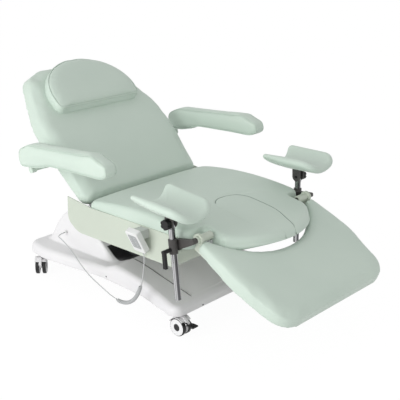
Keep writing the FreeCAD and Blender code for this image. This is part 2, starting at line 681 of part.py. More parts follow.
# Pillow: D-shaped headrest cushion held on the leaning upper part of the backrest.
def pillow_form():
    half, start, end = size("pillow_half"), size("pillow_start"), size("pillow_end")
    middle = size("pillow_middle")
    corner = math.tan(math.radians(22.5))
    side, top = V(half, middle + corner * (end - middle)), V(corner * half, end)
    side_turn = (top - side).getAngle(ALONG_Y) / 2
    top_turn = math.pi / 4 - side_turn
    touch = 0.499 * (top - side).Length
    plan = outline(mirrored([
        (half, start, 30), (side.x, side.y, touch / math.tan(side_turn)),
        (top.x, top.y, touch / math.tan(top_turn)),
    ]), flat(0)).extrude(UP * (size("pillow_thick") + 10))
    solid = plan.common(arch(900, (start + end) / 2, size("pillow_thick")))
    solid = soften(solid, 9, lambda edge: middle_z(edge) > 10 and edge.BoundBox.DiagonalLength > 40
                   and edge.BoundBox.XLength + edge.BoundBox.YLength > 20)
    return soften(solid, 6, lambda edge: edge.BoundBox.ZMax < 0.5)


lean_angle = math.degrees(math.atan2(size("back_lean"), size("back_length") - size("back_bend")))
lean_place = FreeCAD.Placement(V(0, 0, 0.4), FreeCAD.Rotation(ALONG_X, -lean_angle),
                               V(0, size("back_bend"), 0))
pillow = shaped(pillow_form())
pillow.Placement = back_place.multiply(lean_place)
node("pillow", pillow)


# Armrests: curved pad on a bracket that turns on a pin behind the backrest.
def arm_pad():
    side = outline([
        (536, 588, 24), (445, 598, 60), (330, 624, 120), (150, 631, 200), (20, 633, 60), (-22, 655, 18),
        (-10, 696, 22), (70, 727, 90), (470, 699, 120), (544, 660, 40),
    ], upright(size("arm_inner"))).extrude(ALONG_X * size("arm_wide"))
    ends = (size("arm_inner"), size("arm_outer"))
    return soften(side, 12, lambda edge: any(abs(edge.CenterOfMass.x - end) < 0.1 for end in ends))


def arm_bracket():
    pivot = V(0, size("arm_pivot_y"), size("arm_pivot_z"))
    pin = cylinder_x(size("arm_pin_radius"), 152, size("arm_inner") + 20, pivot)
    boss = cylinder_x(size("arm_boss_radius"), size("arm_inner") + 6, size("arm_inner") + 30, pivot)
    strap = outline([
        (528, 588.5, 0), (445, 597.7, 0), (385, 611, 0), (384, 606, 0), (445, 592, 0), (528, 583, 0),
    ], upright(size("arm_inner") + 8)).extrude(ALONG_X * (size("arm_wide") - 32))
    neck = Part.makeBox(20, 24, 11, V(size("arm_inner") + 8, pivot.y - 12, pivot.z + 10))
    return pin.fuse(boss).fuse(strap).fuse(neck)


for name, side in SIDES.items():
    for label, form in (("armrest_pad", arm_pad()), ("armrest_bracket", arm_bracket())):
        node("%s_%s" % (name, label), shaped(form if side == LEFT else mirror_x(form)))

# Leg supports: drawn upright with the rod in its socket tube, then turned to their rest angles.
SUPPORTS = {"right": (-6, 9, 8), "left": (0, -2, 0)}


def gusset(side):
    inner = size("gusset_start")
    plate = outline([(-364, 462, 6), (-364, 445, 6), (-270, 408, 0), (-270, 453, 0)], upright(inner))
    plate = plate.extrude(ALONG_X * 17)
    return shaped(plate if side == LEFT else mirror_x(plate))


def support_bracket(side):
    x, length = span(side, "tube_start + 6", "gusset_start + 4")
    stub = rod("x", "rod_radius", length, x, "-leg_hinge_y", "leg_hinge_z")
    post_x = "%d * post_x" % side
    sleeve = rod("z", "sleeve_radius", "sleeve_top - sleeve_bottom", post_x, "-post_y", "sleeve_bottom")
    bore = rod("z", "post_radius + turning_fit", "sleeve_top", post_x, "-post_y", "sleeve_bottom - 1")
    x, length = span(side, "post_x", "post_x + sleeve_radius + 5")
    thread = rod("x", "4 + turning_fit", length, x, "-post_y", "sleeve_bottom + 18")
    return cut(fuse(stub, gusset(side), sleeve), bore, thread)


def clamp_lever(side):
    x, length = span(side, "post_x + post_radius + 0.6", "post_x + sleeve_radius + 12")
    screw = rod("x", "4", length, x, "-post_y", "sleeve_bottom + 18")
    x, length = span(side, "post_x + sleeve_radius + 1", "post_x + sleeve_radius + 39")
    boss = rod("x", "8", length, x, "-post_y", "sleeve_bottom + 18")
    x, length = span(side, "post_x + sleeve_radius + 26", "post_x + sleeve_radius + 38")
    grip = block(x, "-post_y - 7", "sleeve_bottom - 46", length, "14", "64")
    return fuse(screw, boss, grip)


def post(side):
    x = "%d * post_x" % side
    shaft = rod("z", "post_radius", "post_shoulder - post_bottom", x, "-post_y", "post_bottom")
    tongue = block(x + " - 8.5", "-post_y - post_radius + 0.5", "post_shoulder - 1", "17",
                   "2 * post_radius - 1", "pivot_z + 13 - post_shoulder + 1")
    bolt = rod("x", "stud_radius + turning_fit", "60", x + " - 30", "-post_y", "pivot_z")
    return cut(fuse(shaft, tongue), bolt)


def star_knob(side):
    x, length = span(side, "post_x - 20", "post_x + 30")
    stud = rod("x", "stud_radius", length, x, "-post_y", "pivot_z")
    pivot = V(0, -size("post_y"), size("pivot_z"))
    start = size("post_x") + 15
    knob = cylinder_x(20, start, start + 20, pivot)
    for lobe in range(6):
        angle = math.radians(60 * lobe)
        groove = cylinder_x(5, start - 1, start + 21, pivot + V(0, math.cos(angle), math.sin(angle)) * 21.5)
        knob = knob.cut(groove)
    return fuse(stud, shaped(knob if side == LEFT else mirror_x(knob)))


def trough_sector(outer, inner, half_angle, start, end):
    """Lower part of a tube along Y about the trough axis."""
    face = ring_sector(outer, inner, 270 - half_angle, 270 + half_angle, lambda a, b: V(a, start, b))
    return face.extrude(ALONG_Y * (end - start))


def trough_shell():
    outer = size("trough_radius")
    shell = trough_sector(outer, outer - 3, 40, -110, 70)
    drop = outer + size("trough_stand")
    for start in (-14, 9):
        cheek = Part.makeCylinder(20, 5, V(start, 0, -drop), ALONG_X)
        cheek = cheek.fuse(Part.makeBox(5, 40, size("trough_stand") + 2, V(start, -20, -drop)))
        shell = shell.fuse(cheek)
    stud_bore = Part.makeCylinder(size("stud_radius") + size("turning_fit"), 60, V(-30, 0, -drop), ALONG_X)
    return shell.cut(stud_bore)


def trough_pad():
    outer = size("trough_radius") - 3.2
    ahead, behind = size("trough_ahead"), size("trough_behind")
    half_angle = size("trough_half_angle")
    pad = trough_sector(outer, outer - size("trough_pad"), half_angle, -ahead, behind)
    tip = outer * math.sin(math.radians(half_angle)) + 2
    plan = outline(mirrored([(tip, -ahead, 60), (tip, behind, 26)]), flat(-outer - 10)).extrude(UP * 300)
    return pad.common(plan)


for name, (swing, tilt, raised) in SUPPORTS.items():
    side = SIDES[name]
    centre = V(0, -size("leg_hinge_y"), size("leg_hinge_z"))
    swung = turned(swing, centre)
    lifted = swung.multiply(FreeCAD.Placement(V(0, 0, raised), FreeCAD.Rotation()))
    pivot = V(side * size("post_x"), -size("post_y"), size("pivot_z"))
    tipped = lifted.multiply(turned(tilt, pivot))
    axis_height = size("trough_radius") + size("trough_stand")
    axis = FreeCAD.Placement(pivot + V(0, 0, axis_height), FreeCAD.Rotation())
    members = {
        "support_bracket": (support_bracket(side), swung),
        "clamp_lever": (clamp_lever(side), swung),
        "post": (post(side), lifted),
        "star_knob": (star_knob(side), lifted),
        "trough_shell": (shaped(trough_shell()), tipped.multiply(axis)),
        "trough_pad": (shaped(trough_pad()), tipped.multiply(axis)),
    }
    for label, (piece, place) in members.items():
        piece.Placement = place
        node("%s_%s" % (name, label), piece)

# Handset: face outwards on local +X, length down on local +Z, hung on a wedge at the side cover.
HANDSET_FACE = V(-size("tray_half") - size("handset_reach"), -91, 392)
handset_place = FreeCAD.Placement(HANDSET_FACE, FreeCAD.Rotation(ALONG_Y, 152.6))
BUTTONS = [(y, z) for z in (-25, -5, 15) for y in (-12, 12)]


def handset_form():
    long, wide, thick = size("handset_long"), size("handset_wide"), size("handset_thick")
    corners = [(a * wide / 2, b * long / 2, 9) for a, b in ((-1, -1), (1, -1), (1, 1), (-1, 1))]
    body = outline(corners, upright(-thick)).extrude(ALONG_X * thick)
    body = soften(body, 4, lambda edge: abs(edge.CenterOfMass.x) < 0.1)
    for y, z in BUTTONS:
        body = body.cut(cylinder_x(size("button_radius") + 0.3, -5.2, 1, V(0, y, z)))
    return body


handset = shaped(handset_form())
handset.Placement = handset_place
node("handset_body", handset)
for number, (y, z) in enumerate(BUTTONS, 1):
    button = rod("x", "button_radius", "5.3", "-3.5", y, z)
    button.Placement = handset_place.multiply(FreeCAD.Placement(V(-3.5, y, z), FreeCAD.Rotation(ALONG_Y, 90)))
    for axis in "xyz":
        button.setExpression("Placement.Base." + axis, None)
    node("handset_button_%d" % number, button)

back_middle = handset_place.multVec(V(-size("handset_thick") - 0.1, 0, 0))
back_slope = handset_place.Rotation.multVec(UP)
wedge_low, wedge_high = 405, 440
wedge = outline([
    (-size("tray_half"), wedge_low, 0),
    (back_middle.x + (wedge_low - back_middle.z) * back_slope.x / back_slope.z, wedge_low, 0),
    (back_middle.x + (wedge_high - back_middle.z) * back_slope.x / back_slope.z, wedge_high, 0),
    (-size("tray_half"), wedge_high, 0),
], lambda x, z: V(x, HANDSET_FACE.y - 22, z)).extrude(ALONG_Y * 44)
node("handset_holder", shaped(wedge))


# Cord: round cable along straight runs joined by tangent arcs, and a curled stretch between.
def route(points):
    """Wire through the points, each inner corner rounded as widely as its runs allow."""
    edges = []
    here = points[0]
    radii = []
    for before, corner, after in zip(points, points[1:], points[2:]):
        back, ahead = (before - corner), (after - corner)
        reach = 0.45 * min(back.Length, ahead.Length)
        half = back.getAngle(ahead) / 2
        radius = reach * math.tan(half)
        radii.append(radius)
        way = (back.normalize() + ahead.normalize()).normalize()
        middle = corner + way * (radius / math.sin(half) - radius)
        edges.append(Part.LineSegment(here, corner + back * reach).toShape())
        edges.append(Part.Arc(corner + back * reach, middle, corner + ahead * reach).toShape())
        here = corner + ahead * reach
    edges.append(Part.LineSegment(here, points[-1]).toShape())
    return Part.Wire(edges), min(radii)


def cable(wire, start, direction):
    ring = Part.Wire(Part.makeCircle(size("cord_radius"), start, direction))
    return wire.makePipeShell([ring], True, False)


def cord_stretch(label, points):
    wire, tightest = route(points)
    tube = cable(wire, points[0], points[1] - points[0])
    section = math.pi * size("cord_radius") ** 2
    share = tube.Volume / (section * wire.Length)
    print(label, "length %.1f radius %.1f volume ratio %.4f" % (wire.Length, tightest, share))
    node(label, shaped(tube))


LEAD_END = V(-360, -74, 203)
LEAD_BEND = V(-360, -84, 250)
handset_foot = handset_place.multVec(V(-size("handset_thick") / 2, 0, size("handset_long") / 2))
handset_down = handset_place.Rotation.multVec(UP)
cord_stretch("cord_handset_lead", [
    handset_foot, handset_foot + handset_down * 22, V(-360, -91, 300), LEAD_BEND, LEAD_END,
])

STRAIGHT = 2 * size("cord_radius")
lead_way = (LEAD_END - LEAD_BEND).normalize()
curl_way = V(0.06, 0.98, 0.13).normalize()
curl_first = LEAD_END + lead_way * STRAIGHT
curl_last = V(-350, 103, 78)
CURL_END = curl_last + curl_way * STRAIGHT
curl_axis = Part.BSplineCurve()
curl_axis.interpolate(
    Points=[curl_first, V(-359, -47, 146), V(-357, -20, 111), V(-355, 20, 84), V(-353, 64, 74),
            curl_last],
    InitialTangent=lead_way * 60, FinalTangent=curl_way * 60)
curl_length = curl_axis.length()
curl_turns = round(curl_length / size("curl_pitch")) - 4


def curl_point(along):
    """Point of the curled cord, the curl opening out over its first and closing over its last turns."""
    parameter = curl_axis.parameterAtDistance(along, curl_axis.FirstParameter)
    tangent = V(*curl_axis.tangent(parameter)[0])
    aside = (ALONG_X - tangent * ALONG_X.dot(tangent)).normalize()
    other = tangent.cross(aside)
    ease = 4 * size("curl_pitch")
    ramp = min(1, min(along, curl_length - along) / ease)
    spread = size("curl_radius") * ramp * ramp * (3 - 2 * ramp)
    eased = along - ease / 2
    if along < ease:
        eased = along * along / (2 * ease)
    elif along > curl_length - ease:
        eased = curl_length - ease - (curl_length - along) ** 2 / (2 * ease)
    angle = 2 * math.pi * curl_turns * eased / (curl_length - ease)
    offset = aside * (spread * math.cos(angle)) + other * (spread * math.sin(angle))
    return curl_axis.value(parameter) + offset


def arc_from(start, way, end):
    """Arc that leaves the start along its way and reaches the end."""
    chord = end - start
    along = V(chord).normalize()
    lean = way - along * way.dot(along)
    if lean.Length < 1e-6:
        return Part.LineSegment(start, end).toShape()
    swing = way.getAngle(chord)
    middle = start + chord * 0.5 + lean.normalize() * (chord.Length / 2 * math.tan(swing / 2))
    return Part.Arc(start, middle, end).toShape()


def biarc(start, start_way, end, end_way):
    """Two tangent arcs between two points with given ways."""
    chord = end - start
    bend = 2 * (1 - start_way.dot(end_way))
    pull = chord.dot(start_way + end_way)
    reach = chord.dot(chord) / (2 * pull)
    if bend > 1e-9:
        reach = (-pull + math.sqrt(pull * pull + bend * chord.dot(chord))) / bend
    joint = (start + end + (start_way - end_way) * reach) * 0.5
    joint_way = (end - start - (start_way + end_way) * reach).normalize()
    return [arc_from(start, start_way, joint), arc_from(joint, joint_way, end)]


def curl_wire():
    steps = 4 * curl_turns
    small = 0.01
    points, ways = [], []
    for step in range(steps + 1):
        along = curl_length * step / steps
        low, high = max(along - small, 0), min(along + small, curl_length)
        points.append(curl_point(along))
        ways.append((curl_point(high) - curl_point(low)).normalize())
    edges = [Part.LineSegment(LEAD_END, points[0]).toShape()]
    for i in range(steps):
        edges += biarc(points[i], ways[i], points[i + 1], ways[i + 1])
    edges.append(Part.LineSegment(points[-1], CURL_END).toShape())
    return Part.Wire(edges)


def least_gap(wire):
    """Least space between neighbouring turns of the tube, measured on points of its centre line."""
    points = wire.discretize(Number=24 * curl_turns)
    step = wire.Length / len(points)
    skip = int(0.6 * wire.Length / curl_turns / step)
    reach = int(1.6 * wire.Length / curl_turns / step)
    pairs = ((a, b) for a in range(len(points)) for b in range(a + skip, min(a + reach, len(points))))
    return min((points[a] - points[b]).Length for a, b in pairs) - 2 * size("cord_radius")


curl = curl_wire()
curl_tube = cable(curl, LEAD_END, lead_way)
section = math.pi * size("cord_radius") ** 2
tightest = min(edge.Curve.Radius for edge in curl.Edges if hasattr(edge.Curve, "Radius"))
print("cord_curl turns %d length %.1f radius %.2f gap %.2f volume ratio %.4f" % (
    curl_turns, curl.Length, tightest, least_gap(curl), curl_tube.Volume / (section * curl.Length)))
node("cord_curl", shaped(curl_tube))

GROMMET_FACE = V(-size("housing_half") - 5, 597, size("base_top") + 34)
cord_stretch("cord_base_lead", [
    CURL_END, CURL_END + curl_way * 24, V(-345, 166, 90), V(-341, 211, 102), V(-335, 258, 112),
    V(-326, 306, 124), V(-312, 357, 137), V(-294, 410, 150), V(-280, 460, 166), V(-270, 508, 182),
    V(-262, 548, 192),
    GROMMET_FACE + V(-49, 0, 0), GROMMET_FACE,
])

# Write every sub-part to its own file.
doc.recompute()
os.makedirs("parts", exist_ok=True)
for obj in nodes:
    if "Invalid" in obj.State or "Error" in obj.State or obj.Shape.isNull() or not obj.Shape.isValid():
        raise RuntimeError("bad shape: " + obj.Label)
    print("%-28s solids %d volume %.0f" % (obj.Label, len(obj.Shape.Solids), obj.Shape.Volume))
    obj.Shape.exportStep("parts/%s.step" % obj.Label)
print(len(nodes), "sub-parts")
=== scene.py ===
import math

import bmesh
import bpy
import numpy as np
from mathutils import Matrix, Vector
from mathutils.bvhtree import BVHTree


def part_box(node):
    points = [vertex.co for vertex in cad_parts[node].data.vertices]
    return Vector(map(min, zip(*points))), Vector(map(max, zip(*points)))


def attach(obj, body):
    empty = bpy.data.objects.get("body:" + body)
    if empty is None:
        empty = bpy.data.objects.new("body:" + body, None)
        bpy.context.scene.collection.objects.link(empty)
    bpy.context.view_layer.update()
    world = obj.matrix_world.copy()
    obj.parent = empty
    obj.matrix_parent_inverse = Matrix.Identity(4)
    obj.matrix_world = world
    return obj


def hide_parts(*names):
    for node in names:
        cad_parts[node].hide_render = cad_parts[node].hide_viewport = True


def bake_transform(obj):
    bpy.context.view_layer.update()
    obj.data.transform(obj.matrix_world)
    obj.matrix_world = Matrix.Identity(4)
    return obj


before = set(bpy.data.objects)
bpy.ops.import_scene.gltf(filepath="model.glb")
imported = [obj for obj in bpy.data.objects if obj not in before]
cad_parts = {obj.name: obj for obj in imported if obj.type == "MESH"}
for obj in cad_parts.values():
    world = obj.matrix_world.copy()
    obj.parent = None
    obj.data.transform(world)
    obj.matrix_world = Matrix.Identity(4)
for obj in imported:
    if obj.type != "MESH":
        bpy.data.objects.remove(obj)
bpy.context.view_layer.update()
scene = bpy.context.scene
scene.view_settings.view_transform = "Standard"


# Studio: a seamless white floor under a large soft lamp at the patient's right and a weak sky.
# The floor takes the shadow of the table, and every ray that looks past the table finds white.
def paint(red, green, blue):
    """Colour as read on a screen, 0 to 255, turned into the light values that a shader takes."""
    levels = np.array((red, green, blue)) / 255
    return tuple(((levels + 0.055) / 1.055) ** 2.4) + (1.0,)


class Finish:
    """One finish as a graph: a shader, the coordinates of the piece itself, and what is mixed into it."""

    def __init__(self, name, **shader):
        self.material = bpy.data.materials.new(name)
        self.material.use_nodes = True
        self.tree = self.material.node_tree
        self.shader = self.tree.nodes["Principled BSDF"]
        for socket, value in shader.items():
            self.shader.inputs[socket.replace("_", " ")].default_value = value
        self.place = self.tree.nodes.new("ShaderNodeTexCoord").outputs["Object"]

    def add(self, kind, inputs, **settings):
        """Puts one node in the graph; an input is a number or the output of another node."""
        node = self.tree.nodes.new("ShaderNode" + kind)
        for name, value in settings.items():
            setattr(node, name, value)
        for socket, value in inputs.items():
            if isinstance(value, bpy.types.NodeSocket):
                self.tree.links.new(value, node.inputs[socket])
            else:
                node.inputs[socket].default_value = value
        return node

    def stretched(self, scale=(1, 1, 1), centre=(0, 0, 0), turn=(0, 0, 0)):
        """Coordinates moved to a centre, then turned, then stretched along the axes."""
        place = self.place
        for step, value in (("Location", [-c for c in centre]), ("Rotation", turn), ("Scale", scale)):
            place = self.add("Mapping", {"Vector": place, step: value}).outputs["Vector"]
        return place

    def noise(self, scale, detail=2.0, place=None, distortion=0.0):
        """Cloudy value, by the number of clouds in a metre."""
        inputs = {"Vector": place or self.place, "Scale": scale, "Detail": detail, "Distortion": distortion}
        return self.add("TexNoise", inputs).outputs["Fac"]

    def pores(self, scale):
        """Distance to the nearest of scattered points, by their number in a metre."""
        return self.add("TexVoronoi", {"Vector": self.place, "Scale": scale}).outputs["Distance"]

    def ramp(self, value, *stops):
        """Colours at positions along a value."""
        node = self.add("ValToRGB", {"Fac": value})
        while len(node.color_ramp.elements) < len(stops):
            node.color_ramp.elements.new(0.5)
        for element, (position, colour) in zip(node.color_ramp.elements, stops):
            element.position = position
            element.color = colour
        return node.outputs["Color"]

    def spread(self, value, low, high):
        """Value between nought and one moved to lie between low and high."""
        inputs = {"Value": value, "To Min": low, "To Max": high}
        return self.add("MapRange", inputs).outputs["Result"]

    def colour(self, socket):
        """Takes the shader's colour from an output."""
        self.tree.links.new(socket, self.shader.inputs["Base Color"])

    def rough(self, value, low, high):
        """Takes the shader's roughness from a value spread between low and high."""
        self.tree.links.new(self.spread(value, low, high), self.shader.inputs["Roughness"])

    def relief(self, *layers):
        """Bumps laid on each other, each a height, its depth in metres and its strength."""
        normal = None
        for height, depth, strength in layers:
            inputs = {"Height": height, "Distance": depth, "Strength": strength}
            if normal:
                inputs["Normal"] = normal
            normal = self.add("Bump", inputs).outputs["Normal"]
        self.tree.links.new(normal, self.shader.inputs["Normal"])


WHITE_STRENGTH = 1.03


def seen_white(tree, light, output, kind):
    """Adds pure white for the rays that look straight, by mirror or through glass at what lies behind."""
    path = tree.nodes.new("ShaderNodeLightPath")
    total = path.outputs["Is Camera Ray"]
    for ray in ("Is Glossy Ray", "Is Transmission Ray"):
        either = tree.nodes.new("ShaderNodeMath")
        either.operation = "MAXIMUM"
        tree.links.new(total, either.inputs[0])
        tree.links.new(path.outputs[ray], either.inputs[1])
        total = either.outputs[0]
    white = tree.nodes.new(kind)
    white.inputs["Color"].default_value = (1, 1, 1, 1)
    white.inputs["Strength"].default_value = WHITE_STRENGTH
    mixed = tree.nodes.new("ShaderNodeMixShader")
    tree.links.new(total, mixed.inputs[0])
    tree.links.new(light, mixed.inputs[1])
    tree.links.new(white.outputs[0], mixed.inputs[2])
    tree.links.new(mixed.outputs[0], output)
    return total, mixed


SKY_STRENGTH = 0.64
sky = bpy.data.worlds.new("studio_sky")
sky.use_nodes = True
scene.world = sky
glow = sky.node_tree.nodes["Background"]
glow.inputs["Color"].default_value = (1, 1, 1, 1)
glow.inputs["Strength"].default_value = SKY_STRENGTH
seen_white(sky.node_tree, glow.outputs[0], sky.node_tree.nodes["World Output"].inputs["Surface"],
           "ShaderNodeBackground")


def placed(name, data):
    """Object of a mesh, curve, lamp or camera, put in the scene at the origin."""
    thing = bpy.data.objects.new(name, data)
    scene.collection.objects.link(thing)
    return thing


FLOOR_HALF, FLOOR_DROP = 40.0, 0.0005
SHADOW_SHARE = 0.07
floor_mesh = bpy.data.meshes.new("studio_floor")
floor_signs = ((-1, -1), (1, -1), (1, 1), (-1, 1))
floor_corners = [(x * FLOOR_HALF, y * FLOOR_HALF, -FLOOR_DROP) for x, y in floor_signs]
floor_mesh.from_pydata(floor_corners, [], [(0, 1, 2, 3)])
floor = placed("studio_floor", floor_mesh)
floor_paint = Finish("floor_paint", Roughness=0.9)
floor_tones = ((0.3, paint(243, 243, 243)), (0.7, paint(247, 247, 247)))
floor_paint.colour(floor_paint.ramp(floor_paint.noise(3), *floor_tones))
floor_out = floor_paint.tree.nodes["Material Output"].inputs["Surface"]
floor_light = floor_paint.shader.outputs[0]
straight, floor_mix = seen_white(floor_paint.tree, floor_light, floor_out, "ShaderNodeEmission")
share = floor_paint.add("Math", {0: straight, 1: 1 - SHADOW_SHARE}, operation="MULTIPLY")
floor_paint.tree.links.new(share.outputs[0], floor_mix.inputs[0])
floor_mesh.materials.append(floor_paint.material)

CAMERA_PLACE = Vector((-2.463, -2.340, 1.608))
CAMERA_TARGET = Vector((0, -0.055, 0.453))
CAMERA_ROLL = math.radians(-0.34)
CAMERA_LENS, CAMERA_SENSOR = 76.95, 36
ahead = (CAMERA_TARGET - CAMERA_PLACE).normalized()
level = ahead.cross(Vector((0, 0, 1))).normalized()
right = level * math.cos(CAMERA_ROLL) + level.cross(ahead) * math.sin(CAMERA_ROLL)
camera_data = bpy.data.cameras.new("camera")
camera_data.lens = CAMERA_LENS
camera_data.sensor_width = CAMERA_SENSOR
camera = placed("camera", camera_data)
camera.matrix_world = Matrix((right, right.cross(ahead), -ahead)).transposed().to_4x4()
camera.location = CAMERA_PLACE
scene.camera = camera


def softbox(name, place, aim, width, power):
    """Square lamp that looks from its place at its aim."""
    lamp = bpy.data.lights.new(name, "AREA")
    lamp.size = width
    lamp.energy = power
    holder = placed(name, lamp)
    holder.location = place
    holder.rotation_euler = (Vector(aim) - Vector(place)).to_track_quat("-Z", "Y").to_euler()


LAMP_AIM = (0, 0, 0.4)
softbox("softbox_side", (-4.4, 0.7, 1.6), LAMP_AIM, width=3.0, power=100)
softbox("softbox_front", (-3.2, -3.2, 2.1), LAMP_AIM, width=1.6, power=22)


# Base shell: one white moulding over the chassis, with a rolled rim, a waist, a sunk middle panel that
# slopes to the foot end, and the hump over the control box flowing out of it behind the column.
MM = 0.001
BASE_FRONT, BASE_BOTTOM, BASE_ROLL = -236, 90, 26
BASE_CORNERS = [
    (337, BASE_FRONT, 38), (331, -184, 110), (283, 10, 400), (267, 290, 600), (306, 641, 260), (285, 778, 60),
]
SPINE_FRONT, SPINE_REAR = -150, 690
RIM_STEP, TOP_STEPS = 7, 90
WALL_STEPS = [(3, 0), (0.8, 0.03), (0, 0.1), (0, 0.4), (0, 0.7), (0, 1)]
DECK_PROFILE = [(BASE_FRONT, 129), (140, 166), (206, 166), (268, 138)]
HUMP_PROFILE = [(278, 0), (300, 8), (430, 112), (545, 162), (622, 148), (698, 64), (722, 0)]
HUMP_SHOULDER, HUMP_FOOT = 178, 211
PROFILE_EASE = 11
PANEL_FRONT, PANEL_REAR, PANEL_DROP, PANEL_EDGE = -200, 204, 2, 9
PANEL_HALF, PANEL_HALF_Y, PANEL_TAPER = 159, 151, 0.145
PANEL_GAP, GAP_STEPS = 0.0019, 90
# Middle and half sizes of the black rectangle painted round the column as the shade of an opening.
COLUMN_SHADE_MIDDLE, COLUMN_SHADE_HALF = (0, 0.279), (0.172, 0.074)


def dressed(mesh, finish):
    """Mesh shaded smooth, in one finish."""
    mesh.polygons.foreach_set("use_smooth", np.ones(len(mesh.polygons), bool))
    mesh.materials.clear()
    mesh.materials.append(finish.material)
    return mesh


def mesh_piece(name, points, faces, finish):
    """Object of a mesh given as points in metres and faces."""
    mesh = bpy.data.meshes.new(name)
    mesh.from_pydata(np.asarray(points, float).reshape(-1, 3).tolist(), [], faces)
    return placed(name, dressed(mesh, finish))


def grid_faces(rows, columns, round_rows=False, round_columns=False):
    """Four-cornered faces between the points of a grid, joined end to end where it goes round."""
    row, column = np.meshgrid(np.arange(rows - (not round_rows)), np.arange(columns - (not round_columns)),
                              indexing="ij")
    next_row, next_column = (row + 1) % rows, (column + 1) % columns
    corners = [row * columns + column, row * columns + next_column,
               next_row * columns + next_column, next_row * columns + column]
    return np.stack(corners, -1).reshape(-1, 4).tolist()


def smooth_step(value):
    """Rises from nought to one with level ends."""
    value = np.clip(value, 0, 1)
    return value * value * (3 - 2 * value)


def rounded(corners, spacing):
    """Closed line through the corners, each rounded by its radius with an arc, at an even spacing."""
    points = []
    count = len(corners)
    for i in range(count):
        before, corner, after = (np.array(corners[(i + k) % count][:2], float) for k in (-1, 0, 1))
        radius = corners[i][2]
        back, ahead = (before - corner), (after - corner)
        back, ahead = back / np.linalg.norm(back), ahead / np.linalg.norm(ahead)
        half = math.acos(np.clip(back @ ahead, -1, 1)) / 2
        middle = (back + ahead) / np.linalg.norm(back + ahead)
        centre = corner + middle * radius / math.sin(half)
        start = corner + back * radius / math.tan(half) - centre
        end = corner + ahead * radius / math.tan(half) - centre
        sweep = np.linspace(0, 1, 16)[:, None]
        angle = math.pi - 2 * half
        weight = [np.sin((1 - sweep) * angle), np.sin(sweep * angle)]
        points.append(centre + (weight[0] * start + weight[1] * end) / math.sin(angle))
    return even(np.concatenate(points), spacing, True)


def even(line, spacing, closed=False):
    """Points of a line laid again at an even spacing."""
    line = np.asarray(line, float)
    if closed:
        line = np.concatenate([line, line[:1]])
    along = np.concatenate([[0], np.cumsum(np.linalg.norm(np.diff(line, axis=0), axis=1))])
    steps = np.linspace(0, along[-1], max(int(along[-1] / spacing), 8), endpoint=not closed)
    return np.stack([np.interp(steps, along, axis) for axis in line.T], 1)


def mirrored(corners):
    """Corners on the left side, followed by their mirror images."""
    return list(corners) + [(-x, y, radius) for x, y, radius in reversed(corners)]


def eased(profile, y):
    """Height of a side profile at y, its corners eased by a Gaussian: exp(-(y / ease)^2 / 2)."""
    steps = np.arange(-400, 1000)
    tail = 4 * PROFILE_EASE + 1
    kernel = np.exp(-0.5 * (np.arange(-tail, tail + 1) / PROFILE_EASE) ** 2)
    heights = np.convolve(np.interp(steps, *np.array(profile).T), kernel / kernel.sum(), "same")
    return np.interp(y, steps, heights)


def panel_half(y):
    """Half the width of the middle panel, which narrows to the column."""
    return PANEL_HALF + (PANEL_HALF_Y - y) * PANEL_TAPER


def shell_height(x, y):
    """Top of the shell: the deck by its side profile, less the sunk panel, plus the hump by its profile."""
    hump = eased(HUMP_PROFILE, y) * smooth_step((HUMP_FOOT - np.abs(x)) / (HUMP_FOOT - HUMP_SHOULDER))
    inside = np.minimum(np.minimum(panel_half(y) - np.abs(x), y - PANEL_FRONT), PANEL_REAR - y)
    return eased(DECK_PROFILE, y) + hump - PANEL_DROP * smooth_step(inside / PANEL_EDGE)


def base_shell(finish):
    """Rim line carried up the wall, round the roll, and in to the middle line of the base."""
    rim = rounded(mirrored(BASE_CORNERS), RIM_STEP)
    way = np.roll(rim, -1, 0) - np.roll(rim, 1, 0)
    inward = np.stack([-way[:, 1], way[:, 0]], 1) / np.linalg.norm(way, axis=1)[:, None]
    spine = np.stack([np.zeros(len(rim)), np.clip(rim[:, 1], SPINE_FRONT, SPINE_REAR)], 1)
    rolled = rim + inward * BASE_ROLL
    wall = shell_height(rolled[:, 0], rolled[:, 1]) - BASE_ROLL - BASE_BOTTOM
    rows = []
    for inset, share in WALL_STEPS:
        rows.append(np.column_stack([rim + inward * inset, BASE_BOTTOM + share * wall]))
    for turn in np.radians(np.linspace(9, 90, 10)):
        flat = rim + inward * BASE_ROLL * (1 - math.cos(turn))
        height = BASE_BOTTOM + wall + BASE_ROLL * math.sin(turn)
        rows.append(np.column_stack([flat, height]))
    for share in np.linspace(0, 1, TOP_STEPS)[1:]:
        flat = rolled + (spine - rolled) * share
        rows.append(np.column_stack([flat, shell_height(flat[:, 0], flat[:, 1])]))
    grid = np.stack(rows) * MM
    return mesh_piece("base_shell", grid, grid_faces(*grid.shape[:2], round_columns=True), finish)


def welt(name, line, radius, up, finish, closed=True):
    """Round cord along a seam or a gap: a ring carried along the line, tapered at open ends."""
    line = np.asarray(line, float)
    way = np.roll(line, -1, 0) - np.roll(line, 1, 0)
    if not closed:
        way[0], way[-1] = line[1] - line[0], line[-1] - line[-2]
    way /= np.linalg.norm(way, axis=1)[:, None]
    aside = np.cross(np.broadcast_to(np.asarray(up, float), way.shape), way)
    aside /= np.linalg.norm(aside, axis=1)[:, None]
    lift = np.cross(way, aside)
    angle = np.linspace(0, 2 * math.pi, 10, endpoint=False)
    size = np.full(len(line), radius)
    if not closed:
        from_end = np.minimum(np.arange(len(line)), np.arange(len(line))[::-1])
        size = radius * np.sqrt(np.clip(from_end / 4, 0.02, 1))
    ring = aside[:, None, :] * np.cos(angle)[None, :, None] + lift[:, None, :] * np.sin(angle)[None, :, None]
    grid = line[:, None, :] + ring * size[:, None, None]
    return mesh_piece(name, grid, grid_faces(len(line), len(angle), closed, True), finish)


